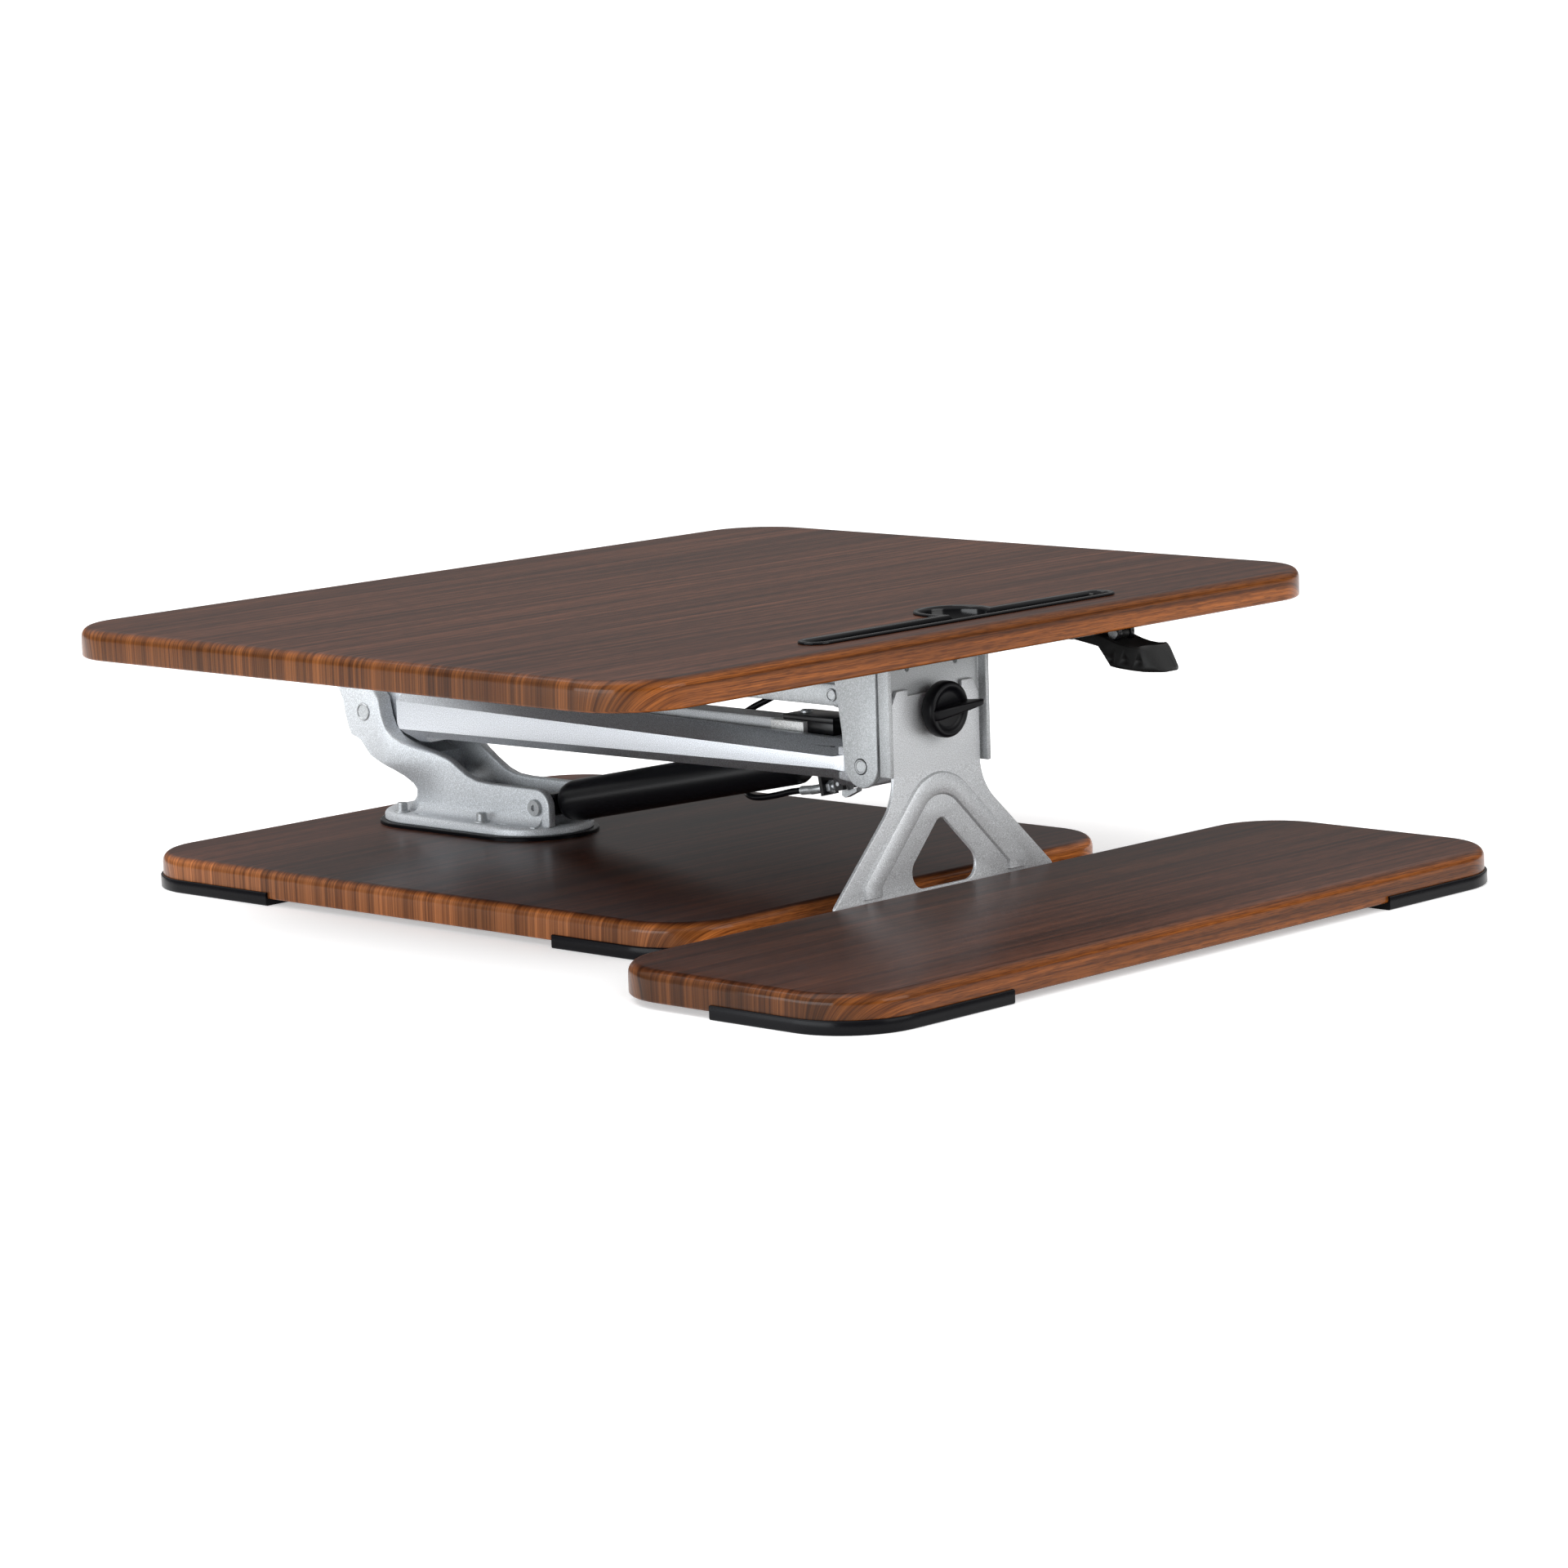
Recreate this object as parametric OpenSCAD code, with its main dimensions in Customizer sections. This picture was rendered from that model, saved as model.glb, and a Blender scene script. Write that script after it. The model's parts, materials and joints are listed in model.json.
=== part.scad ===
// Single-arm standing desk converter with a hung keyboard tray.
// Millimetres, +Z up, -Y towards the user, origin on the desk under the middle of the box.

/* [Boards] */
// Width of the worktop
top_w = 750; // [700:10:900]
// Depth of the worktop
top_d = 600; // [580:10:640]
// Width of the base board
base_w = 475; // [420:5:600]
// Depth of the base board
base_d = 590; // [580:5:600]
// Width of the keyboard tray
tray_w = 720; // [640:10:860]
// Depth of the keyboard tray
tray_d = 240; // [220:5:260]
// Thickness of every board
board_t = 22; // [18:1:25]
// Corner radius of every board
corner_r = 55; // [40:5:60]
// Height of the worktop's underside above the desk, folded down
top_z = 200; // [200:1:204]

/* [Feet] */
// Length of the long leg of an L-shaped corner foot
foot_long = 156; // [120:1:160]
// Length of its short leg
foot_short = 133; // [90:1:140]
// Height of the boards above the desk
foot_h = 5; // [4:0.5:6]
// How far the lip stands out from the board's edge
foot_lip = 2; // [1.5:0.5:3]
// Width of the foot's sole
foot_sole = 28; // [20:1:40]

/* [Lift arm] */
// Distance between the arm's two pivots
arm_len = 527; // [520:1:535]
// Diameter of the rear arm pin
rear_pin_d = 12; // [10:1:14]
// Diameter of the front arm pin
front_pin_d = 10; // [8:1:12]
// Diameter of both link pins
link_pin_d = 8; // [6:1:10]

/* [Gas spring] */
// Outer diameter of the gas spring's tube
tube_d = 32; // [28:1:32]
// Diameter of the piston rod
rod_d = 10; // [8:1:12]
// Rise of the gas spring towards the front, folded down, in degrees
strut_tilt = 11.67; // [11:0.1:12]

/* [Tray bracket] */
// Half of the bracket's width at its foot
fork_half = 118; // [110:1:125]
// Flare of the bracket's legs from the vertical, in degrees
fork_flare = 46; // [44:1:48]
// Thickness of the pressed plate
plate_t = 3; // [2.5:0.5:3.5]

/* [Clamp knob] */
// Diameter of the knob
knob_d = 41; // [36:1:44]
// Diameter of the clamp bolt
clamp_d = 8; // [6:1:9]

/* [Hidden] */
$fn = 64;

// Boards: Y of the front edges and Z of the faces
tray_y = -432;
base_y = -158;
top_y = -252;
low_z = foot_h;
low_top = low_z + board_t;

// Pivots, as [Y, Z]
P1 = [375, 115];                          // rear end of the arm, on the post
Q1 = [P1[0] - arm_len, P1[1]];            // front end of the arm, on the carriage
LINK = [41, 47];                          // from each arm pivot to the link pivot above it
P2 = P1 + LINK;
Q2 = Q1 + LINK;
S1 = [206, 51];                           // foot of the gas spring, on the post
strut_len = 310.4;                        // to its upper eye, folded down

// Widths, as half of the whole
cheek_out = 45;                           // outer faces of the post's and carriage's cheeks
post_in = 31;                             // inner faces of the post's upper cheeks
clevis_in = 17.5;                         // inner faces of the post's lower cheeks
clevis_out = 25;
bracket_in = 40.5;                        // inner faces of the carriage's cheeks
arm_half = 42;
arm_cavity = 35;
link_half = 29;
link_in = 25;
head_half = 11;
run = 0.05;                               // running clearance of a pin, on the radius

// Post foot
flange_w = 92;
flange_l = 194;
flange_t = 7;
gasket_t = 3;
gasket_edge = 4;
flange_y = 285;
flange_z = low_top + gasket_t;
flange_top = flange_z + flange_t;
stud_x = 35;
stud_y = [256, 346];

// Arm section: half-height of the side facet and of the whole, at the rear and the front
arm_rear_y = 340;
arm_front_y = -121;
arm_web_z = [125.5, 129];
boss_rear_r = 19;
boss_front_r = 16;

// Tray channel and bracket
chan_half = 54.5;
chan_wall = 4;
chan_front = -189.5;
chan_web = [-182, -179];
chan_low = 110.5;
plate_y = -182.3;                         // rear face of the bracket's plate
fork_bend = 112;                          // height where the plate starts to lean forward
fork_lean = 3.5;
clamp_z = 154.5;
clamp_slide = 14;                         // how far the tray can be raised in the channel

// Tablet slot
slot_half = 164;
slot_x = -4;
slot_y = [-228, -202];
slot_depth = 14;
slot_wall = 3;
pocket_x = 17;
pocket_y = -191;
pocket_r = 30;
slot_rim = 2;

// Release handle
grip_x = [140, 172];
grip_mid = (grip_x[0] + grip_x[1]) / 2;
grip_pin = [-230, 194.3];
knuckle_half = 5;                         // knuckle of the handle, between the bracket's lugs
lug_t = 4;

// Release cable, [x, y, z] at each point, from the gas spring's head up to the handle
cable_d = 5;
cable_low = [[0, -60.5, 84.3], [0, -42, 81.5], [0, -24, 77], [2, -6, 73.5], [6, 8, 73],
  [14.5, 20, 75], [21, 27, 84.5], [24, 31, 96], [24, 34, 107], [22.3, 36.5, 115.5]];
cable_mid = [[21.8, 36.6, 117.5], [20, 33, 124.5], [19, 25, 131.5], [20, 15, 137.5], [24, 6, 142.5],
  [29, -1, 147], [34, -7, 151]];
cable_top = [[34.9, -8, 152], [40, -14, 158], [47, -24, 168], [55, -36, 178], [64, -50, 186],
  [76, -68, 191.5], [92, -90, 193.5], [112, -116, 194], [132, -142, 194], [147, -162, 194],
  [155, -176, 194], [156, -186, 194]];

// ---- Shared shapes -----------------------------------------------------------------------

// Both sides of the middle plane
module both_sides() {
  children();
  mirror([1, 0, 0]) children();
}

// A rectangle with round corners, centred
module round_rect(w, d, r) {
  square([w - 2 * r, d], center = true);
  square([w, d - 2 * r], center = true);
  for (x = [-1, 1], y = [-1, 1])
    translate([x * (w / 2 - r), y * (d / 2 - r)]) circle(r);
}

// A side profile drawn in Y and Z, given a width from x0 to x1
module profile(x0, x1) {
  translate([x0, 0, 0]) rotate([90, 0, 90]) linear_extrude(x1 - x0) children();
}

// A cylinder along X about the point p = [Y, Z]
module x_rod(p, r, x0, x1) {
  translate([x0, p[0], p[1]]) rotate([0, 90, 0]) cylinder(h = x1 - x0, r = r);
}

// A cylinder along Y about x and z, from y0 to y1
module y_rod(x, z, r, y0, y1) {
  translate([x, y1, z]) rotate([90, 0, 0]) cylinder(h = y1 - y0, r = r);
}

module board(w, d, y0, z0) {
  translate([0, y0 + d / 2, z0]) linear_extrude(board_t) round_rect(w, d, corner_r);
}

// A pin along X with a low round head at each end
module headed_pin(p, r, half, head_r, head_t) {
  x_rod(p, r, -half, half);
  both_sides() x_rod(p, head_r, half, half + head_t);
}

// L-shaped corner foot of a board w by d whose front edge is at y0. sx and sy pick the
// corner, and the long leg runs along X or Y.
module corner_foot(w, d, y0, sx, sy, long_x) {
  leg = long_x ? [foot_long, foot_short] : [foot_short, foot_long];
  color([0.03, 0.03, 0.035]) translate([0, y0 + d / 2, 0]) {
    linear_extrude(foot_h) difference() {
      foot_outline(w, d, sx, sy, leg);
      round_rect(w - 2 * foot_sole, d - 2 * foot_sole, corner_r - foot_sole);
    }
    translate([0, 0, foot_h]) linear_extrude(foot_h) difference() {
      foot_outline(w, d, sx, sy, leg);
      round_rect(w, d, corner_r);
    }
  }
}

module foot_outline(w, d, sx, sy, leg) {
  intersection() {
    round_rect(w + 2 * foot_lip, d + 2 * foot_lip, corner_r + foot_lip);
    translate([sx * (w / 2 + foot_lip - leg[0] / 2), sy * (d / 2 + foot_lip - leg[1] / 2)])
      square(leg, center = true);
  }
}

// Everything on the gas spring is drawn along +X from its lower eye, then laid in place
module on_strut() {
  translate([0, S1[0], S1[1]]) rotate([0, 0, -90]) rotate([0, -strut_tilt, 0]) children();
}

// A round bar swept along a list of points, with one ring of sides at each point
function unit(v) = v / norm(v);
function heading(p, i) = unit(p[min(i + 1, len(p) - 1)] - p[max(i - 1, 0)]);
function ring(p, i, r, n) =
  let (t = heading(p, i), u = unit(cross(t, [0.36, 0.48, 0.8])), v = cross(t, u))
  [for (k = [0:n - 1]) p[i] + r * (u * cos(360 * k / n) + v * sin(360 * k / n))];
// A point on the smooth curve through the points, s of the way from point i to the next
function between(p, i, s) =
  let (a = p[max(i - 1, 0)], b = p[i], c = p[i + 1], d = p[min(i + 2, len(p) - 1)])
  0.5 * (2 * b + (c - a) * s + (2 * a - 5 * b + 4 * c - d) * s * s
    + (3 * b - a - 3 * c + d) * s * s * s);
function smooth(p, steps) = concat(
  [for (i = [0:len(p) - 2], k = [0:steps - 1]) between(p, i, k / steps)], [p[len(p) - 1]]);
module bar_along(points, d) {
  sides = 8;
  path = smooth(points, 2);
  last = len(path) - 1;
  polyhedron(
    points = [for (i = [0:last]) each ring(path, i, d / 2, sides)],
    faces = concat(
      [[for (k = [0:sides - 1]) k]],
      [for (i = [0:last - 1], k = [0:sides - 1]) let (n = (k + 1) % sides)
        [i * sides + k, (i + 1) * sides + k, (i + 1) * sides + n, i * sides + n]],
      [[for (k = [0:sides - 1]) last * sides + sides - 1 - k]]));
}

// ---- Base and post -----------------------------------------------------------------------

module base_board() {
  color([0.27, 0.2, 0.17]) difference() {
    board(base_w, base_d, base_y, low_z);
    for (x = [-stud_x, stud_x], y = stud_y)
      translate([x, y, low_z - 1]) cylinder(h = board_t + 2, r = 4.25);
  }
}

module base_foot(sx, sy) {
  corner_foot(base_w, base_d, base_y, sx, sy, sy < 0);
}

module stadium(w, l) {
  square([w, l - w], center = true);
  for (s = [-1, 1]) translate([0, s * (l - w) / 2]) circle(w / 2);
}

module stud_holes() {
  for (x = [-stud_x, stud_x], y = stud_y) translate([x, y - flange_y]) circle(4.25);
}

module post_gasket() {
  color([0.03, 0.03, 0.03]) translate([0, flange_y, low_top]) linear_extrude(gasket_t)
    difference() {
      stadium(flange_w + 2 * gasket_edge, flange_l + 2 * gasket_edge);
      stud_holes();
    }
}

// Upper cheek: carries the arm's pin and, behind and above it, the link's
module upper_cheek_outline() {
  polygon([[345, 73], [361.5, 77], [370, 80.7], [375, 87], [379, 92], [385, 94.4], [391.5, 95.4],
    [395, 104.5], [398, 116], [403, 130], [P2[0] + 13, P2[1] - 4], [P2[0] - 9, P2[1] + 10],
    [364, 133], [358, 127], [354.5, 113], [350, 103], [345, 98]]);
  translate(P2) circle(14);
}

// Lower cheek: the neck above the flange, running forward to the gas spring's clevis
module lower_cheek_outline() {
  polygon([[352, flange_top], [344, 45], [338, 51], [336, 57], [340, 63], [347, 68], [347, 92],
    [330, 89], [313, 85], [302, 80.5], [292, 74.5], [283, 69.5], [272, 66], [260, 65],
    [S1[0], 65], [S1[0], flange_top]]);
  translate(S1) circle(14);
  translate([S1[0] - 13, flange_top]) square([20, S1[1] - flange_top]);
}

module post_casting() {
  color([0.72, 0.74, 0.76]) difference() {
    union() {
      translate([0, flange_y, flange_z]) linear_extrude(flange_t) difference() {
        stadium(flange_w, flange_l);
        stud_holes();
      }
      both_sides() {
        profile(post_in, cheek_out) upper_cheek_outline();
        profile(clevis_in, clevis_out) lower_cheek_outline();
        hull() {
          translate([post_in, 345, 73]) cube([cheek_out - post_in, 2, 25]);
          translate([clevis_in, 316, 58]) cube([clevis_out - clevis_in, 2, 27]);
        }
      }
      translate([-clevis_in - 1, 250, flange_top - 1]) cube([2 * clevis_in + 2, 88, 20]);
      // Back wall between the upper cheeks
      profile(-post_in - 1, post_in + 1) polygon([[338, 60], [347, 74.5], [362, 78],
        [371, 82.5], [379, 92.5], [386, 95], [377, 95], [369, 87], [361, 82.5], [345, 79],
        [334, 64]]);
    }
    x_rod(P1, rear_pin_d / 2, -cheek_out - 1, cheek_out + 1);
    x_rod(P2, link_pin_d / 2, -cheek_out - 1, cheek_out + 1);
    x_rod(S1, 4, -clevis_out - 1, clevis_out + 1);
  }
}

module post_studs() {
  color([0.8, 0.8, 0.82]) for (x = [-stud_x, stud_x], y = stud_y)
    translate([x, y, low_z - 2.5]) {
      cylinder(h = flange_top + 10 - low_z, r = 4.2);
      cylinder(h = 2.5, r = 9);
    }
}

module arm_rear_pin() {
  color([0.8, 0.8, 0.82]) headed_pin(P1, rear_pin_d / 2, cheek_out, rear_pin_d / 2 + 1, 1.2);
}

module link_rear_pin() {
  color([0.8, 0.8, 0.82]) headed_pin(P2, link_pin_d / 2, cheek_out, link_pin_d / 2 + 1.5, 1.2);
}

module strut_lower_bolt() {
  color([0.8, 0.8, 0.82]) {
    x_rod(S1, 4, -clevis_out, clevis_out + 8);
    x_rod(S1, 6.5, -clevis_out - 3, -clevis_out);
    translate([clevis_out, S1[0], S1[1]]) rotate([0, 90, 0]) cylinder(h = 6.5, r = 7.5, $fn = 6);
  }
}

// ---- Arm ---------------------------------------------------------------------------------

// Eight-sided section of the arm at one end: facet half-height, then top and bottom heights
module arm_section(y, facet, up, down) {
  translate([0, y, P1[1]]) rotate([90, 0, 0]) linear_extrude(0.5, center = true)
    polygon([[arm_half, facet], [28, up], [-28, up], [-arm_half, facet],
      [-arm_half, -facet], [-30, -down], [30, -down], [arm_half, -facet]]);
}

module arm_casting() {
  color([0.7, 0.72, 0.74]) difference() {
    union() {
      difference() {
        hull() {
          arm_section(arm_rear_y, 11, 22, 21);
          arm_section(arm_front_y, 4.5, 15.5, 16);
        }
        // Rear lower corner taken off, so that it clears the post
        profile(-50, 50) polygon([[arm_rear_y + 5, 85], [arm_rear_y + 5, 112],
          [arm_rear_y - 4, 104], [arm_rear_y - 20, 93], [arm_rear_y - 20, 85]]);
      }
      profile(-29.5, 29.5) {
        translate(P1) circle(boss_rear_r);
        translate([arm_rear_y - 6, P1[1] - 15])
          square([P1[0] - arm_rear_y + 6, 15 + boss_rear_r]);
      }
      profile(-39.7, 39.7) {
        translate(Q1) circle(boss_front_r - 0.5);
        translate([Q1[0], Q1[1] - 12]) square([arm_front_y - Q1[0] + 2, 24]);
      }
    }
    // Cavity for the gas spring, open below
    translate([-arm_cavity, arm_front_y + 3, 80])
      cube([2 * arm_cavity, arm_rear_y - arm_front_y - 27, arm_web_z[0] - 80]);
    // Cable groove, open above
    translate([-24, arm_front_y + 12, arm_web_z[1]])
      cube([48, arm_rear_y - arm_front_y - 24, 20]);
    // Hole through the web for the cable
    translate([11, 14, arm_web_z[0] - 1]) cube([16, 34, 6]);
    x_rod(P1, rear_pin_d / 2 + 2, -40, 40);
    x_rod(Q1, front_pin_d / 2 + 2, -50, 50);
    x_rod(upper_eye, 4, -31, 31);
  }
  color([0.7, 0.72, 0.74]) both_sides() difference() {
    x_rod(upper_eye, 8, 20, arm_cavity + 1);
    x_rod(upper_eye, 4, 19, 31);
  }
}
upper_eye = S1 + strut_len * [-cos(strut_tilt), sin(strut_tilt)];

// Flanged bush in each side of a boss
module bush_pair(p, pin_r, half, length) {
  both_sides() difference() {
    union() {
      x_rod(p, pin_r + 2, half - length, half);
      x_rod(p, pin_r + 4, half, half + 0.5);
    }
    x_rod(p, pin_r + run, half - length - 1, half + 2);
  }
}

module arm_rear_bushes() {
  color([0.85, 0.83, 0.75]) bush_pair(P1, rear_pin_d / 2, 29.5, 20);
}

module arm_front_bushes() {
  color([0.85, 0.83, 0.75]) bush_pair(Q1, front_pin_d / 2, 39.7, 20);
}

// Inverted channel over the cable groove
module cable_cover() {
  color([0.6, 0.62, 0.64]) translate([0, 300, arm_web_z[1]]) rotate([90, 0, 0])
    linear_extrude(336) difference() {
      translate([-12, 0]) square([24, 8.5]);
      translate([-10.5, -1]) square([21, 8]);
    }
}

module strut_upper_bolts() {
  color([0.8, 0.8, 0.82]) both_sides() x_rod(upper_eye, 4, 12.5, 31);
}

clip_y = -72;
module cable_clip_block() {
  color([0.62, 0.63, 0.64]) translate([-19, clip_y, arm_web_z[1]]) difference() {
    cube([38, 33, 9]);
    translate([19, 14, -1]) cylinder(h = 12, r = 2.5);
  }
}

module cable_clip_plate() {
  color([0.04, 0.04, 0.04]) difference() {
    union() {
      translate([-15, clip_y - 26, arm_web_z[1] + 9]) cube([30, 50, 4]);
      translate([-15, clip_y - 26, arm_web_z[1]]) cube([30, 25.8, 9.5]);
    }
    translate([0, clip_y + 14, 130]) cylinder(h = 20, r = 2.5);
  }
}

module cable_clip_screw() {
  color([0.75, 0.75, 0.77]) translate([0, clip_y + 14, arm_web_z[1] + 0.5]) {
    cylinder(h = 12.5, r = 2.5);
    translate([0, 0, 12.5]) cylinder(h = 2, r = 4.5);
  }
}

module release_cable_middle() {
  color([0.03, 0.03, 0.03]) bar_along(cable_mid, cable_d);
}

// ---- Upper link --------------------------------------------------------------------------

module upper_link() {
  color([0.75, 0.77, 0.78]) difference() {
    union() {
      both_sides() profile(link_in, link_half) {
        translate([Q2[0], Q2[1] - 8]) square([P2[0] - Q2[0], 16]);
        for (p = [P2, Q2]) translate(p) circle(9);
      }
      translate([-link_in, Q2[0] + 24, P2[1] + 5])
        cube([2 * link_in, P2[0] - Q2[0] - 48, 3]);
    }
    for (p = [P2, Q2]) x_rod(p, link_pin_d / 2 + 1.5, -40, 40);
  }
}

module link_bushes() {
  color([0.85, 0.83, 0.75]) for (p = [P2, Q2]) both_sides() difference() {
    x_rod(p, link_pin_d / 2 + 1.5, link_in, link_half);
    x_rod(p, link_pin_d / 2 + run, link_in - 1, link_half + 1);
  }
}

// ---- Carriage and worktop ----------------------------------------------------------------

// Outline of the tablet slot's trough, grown by g
module slot_outline(g) {
  w = slot_y[1] - slot_y[0] + 2 * g;
  translate([slot_x, (slot_y[0] + slot_y[1]) / 2]) {
    square([2 * slot_half - w + 2 * g, w], center = true);
    for (s = [-1, 1]) translate([s * (slot_half + g - w / 2), 0]) circle(w / 2);
  }
  translate([pocket_x, pocket_y]) circle(pocket_r + g);
}

screw_spots = [for (x = [-62, 62], y = [-150, -60, 30]) [x, y]];

module worktop() {
  color([0.36, 0.28, 0.25]) difference() {
    board(top_w, top_d, top_y, top_z);
    translate([0, 0, top_z + board_t - slot_depth - 0.3]) linear_extrude(slot_depth + 1)
      slot_outline(-slot_wall + 0.4);
    for (s = screw_spots) translate([s[0], s[1], top_z - 1]) cylinder(h = 13, r = 2);
  }
}

module tablet_slot() {
  color([0.02, 0.02, 0.02]) difference() {
    union() {
      translate([0, 0, top_z + board_t - slot_depth]) linear_extrude(slot_depth)
        slot_outline(-slot_wall);
      translate([0, 0, top_z + board_t]) linear_extrude(slot_rim) slot_outline(0);
    }
    translate([0, 0, top_z + board_t - slot_depth + 2]) linear_extrude(slot_depth + slot_rim)
      slot_outline(-slot_wall - 2);
  }
}

// Cheek of the carriage, from the mounting plate down round the arm's front pin
module cheek_outline() {
  translate(Q1) circle(16);
  polygon([[Q1[0] - 16, Q1[1]], [Q1[0] + 15.9, Q1[1] + 1.5], [-133.5, 140], [-128, 175],
    [-124, 196], [-169, 196]]);
}

module carriage_bracket() {
  color([0.72, 0.74, 0.76]) difference() {
    union() {
      both_sides() profile(bracket_in, cheek_out) cheek_outline();
      // Mounting plate under the worktop
      translate([-72, -176, top_z - 4]) cube([144, 222, 4]);
      // Lug for the upper link
      profile(-24, 24) {
        translate(Q2) circle(10);
        translate([Q2[0] - 10, Q2[1]]) square([20, top_z - 4 - Q2[1]]);
      }
      // Spine that the tray channel is riveted to
      translate([-38, chan_web[1], 136]) cube([76, 4, top_z - 136]);
      both_sides() translate([38, chan_web[1], 136]) cube([2.6, 30, top_z - 4 - 136]);
      translate([-38, chan_web[1], top_z - 4]) cube([76, 6, 4]);
    }
    x_rod(Q1, front_pin_d / 2, -50, 50);
    x_rod(Q2, link_pin_d / 2, -50, 50);
    y_rod(0, clamp_z, clamp_d / 2 + 1, -180, -160);
    for (s = screw_spots) translate([s[0], s[1], top_z - 5]) cylinder(h = 6, r = 2.2);
    for (x = [-26, 26], z = [144, 186]) y_rod(x, z, 2.5, -183, -170);
  }
}

module worktop_screws() {
  color([0.75, 0.75, 0.77]) for (s = screw_spots) translate([s[0], s[1], top_z - 4]) {
    cylinder(h = 15, r = 2);
    translate([0, 0, -2.5]) cylinder(h = 2.5, r = 4.5);
  }
}

module arm_front_pin() {
  color([0.8, 0.8, 0.82]) headed_pin(Q1, front_pin_d / 2, cheek_out, front_pin_d / 2 + 0.8, 0.8);
}

module link_front_pin() {
  color([0.8, 0.8, 0.82]) headed_pin(Q2, link_pin_d / 2, link_half + 0.5, link_pin_d / 2 + 2, 1.2);
}

module tray_channel() {
  color([0.72, 0.74, 0.76]) difference() {
    union() {
      translate([-chan_half, chan_web[0], chan_low])
        cube([2 * chan_half, chan_web[1] - chan_web[0], top_z - chan_low]);
      both_sides() translate([chan_half - chan_wall, chan_front, chan_low])
        cube([chan_wall, chan_web[1] - chan_front, top_z - chan_low]);
    }
    y_rod(0, clamp_z, clamp_d / 2 + 0.4, -190, -170);
    for (x = [-26, 26], z = [144, 186]) y_rod(x, z, 2.5, -190, -170);
  }
}

module channel_rivets() {
  color([0.72, 0.74, 0.76]) for (x = [-26, 26], z = [144, 186]) {
    y_rod(x, z, 2.5, chan_web[0], chan_web[1] + 4);
    y_rod(x, z, 4, chan_web[1] + 4, chan_web[1] + 5.5);
  }
}

module clamp_nut() {
  color([0.8, 0.8, 0.82]) difference() {
    translate([0, chan_web[1] + 10, clamp_z]) rotate([90, 0, 0])
      cylinder(h = 6, r = 7.5, $fn = 6);
    y_rod(0, clamp_z, clamp_d / 2 + 0.3, -190, -160);
  }
}

// Two lugs for the handle's pin, with a screw ear on each side
module handle_bracket() {
  lug_out = knuckle_half + lug_t;
  color([0.03, 0.03, 0.03]) translate([grip_mid, 0, 0]) difference() {
    union() {
      for (x = [-lug_out, knuckle_half]) profile(x, x + lug_t) {
        translate(grip_pin) circle(5.2);
        translate([grip_pin[0] - 5, grip_pin[1]]) square([10, top_z - grip_pin[1]]);
        translate([grip_pin[0], top_z - 4]) square([-186 - grip_pin[0], 4]);
      }
      // Rear lug that holds the end of the cable's sleeve
      translate([-lug_out, -190, top_z - 13]) cube([2 * lug_out, 4, 13]);
      both_sides() translate([lug_out, -216, top_z - 3]) cube([12, 30, 3]);
    }
    x_rod(grip_pin, 2.5, -lug_out - 1, lug_out + 1);
    y_rod(0, 194, 1.5, -195, -180);
    both_sides() translate([lug_out + 6, -201, top_z - 5]) cylinder(h = 8, r = 1.8);
  }
}

module handle_pin() {
  lug_out = knuckle_half + lug_t;
  color([0.75, 0.75, 0.77]) translate([grip_mid, 0, 0]) {
    x_rod(grip_pin, 2.5, -lug_out, lug_out);
    x_rod(grip_pin, 4, -lug_out - 1.5, -lug_out);
  }
}

module handle_screws() {
  color([0.75, 0.75, 0.77]) for (x = [-1, 1] * (knuckle_half + lug_t + 6))
    translate([grip_mid + x, -201, top_z - 5]) {
      cylinder(h = 2, r = 3.5);
      translate([0, 0, 2]) cylinder(h = 3, r = 1.8);
    }
}

module release_cable_upper() {
  color([0.03, 0.03, 0.03]) bar_along(cable_top, cable_d);
}

// Paddle that the user pulls up: its side profile, cut to a round nose in plan
module release_handle() {
  nose = (grip_x[1] - grip_x[0]) / 2;
  color([0.02, 0.02, 0.02]) difference() {
    union() {
      difference() {
        intersection() {
          profile(grip_x[0], grip_x[1]) polygon([[-197, 193.5], [-197, 188], [-220, 184.6],
            [-226, 177], [-231.5, 170.4], [-245, 169], [-270, 168.4], [-277.5, 170], [-278.5, 178],
            [-273, 187], [-266, 187.5], [-251, 186.5], [-243, 187.3], [-235, 189.3],
            [-229, 191.5], [-222, 193.5]]);
          translate([grip_mid, -262, 160]) {
            cylinder(h = 40, r = nose);
            translate([-nose, 0, 0]) cube([2 * nose, 70, 40]);
          }
        }
        // Room for the bracket's lugs
        for (x = [-knuckle_half - lug_t - 2.4, knuckle_half - 0.4])
          x_rod(grip_pin, 6, grip_mid + x, grip_mid + x + lug_t + 2.8);
      }
      x_rod(grip_pin, 4.6, grip_mid - knuckle_half + 0.4, grip_mid + knuckle_half - 0.4);
    }
    x_rod(grip_pin, 2.5 + run, grip_x[0] - 1, grip_x[1] + 1);
  }
}

// ---- Clamp knob --------------------------------------------------------------------------

knob_y = -187;
module clamp_knob() {
  color([0.03, 0.03, 0.03]) translate([0, knob_y, clamp_z]) rotate([90, 0, 0]) {
    difference() {
      rotate_extrude() polygon([[0, 0], [17, 0], [18.5, 2], [knob_d / 2, 4.5],
        [knob_d / 2, 11], [knob_d / 2 - 1.5, 13], [knob_d / 2 - 4.5, 13],
        [knob_d / 2 - 6.5, 10.5], [0, 10.5]]);
      translate([0, 0, -1]) cylinder(h = 8, r = clamp_d / 2);
    }
    // Wing across the face
    rotate([0, 0, 9]) translate([0, 0, 9]) rotate([90, 0, 0]) linear_extrude(6, center = true)
      polygon([[-19, 0], [-18, 6], [-4, 10], [12, 14.5], [23, 16], [25, 13.5], [19, 0]]);
  }
}

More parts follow.
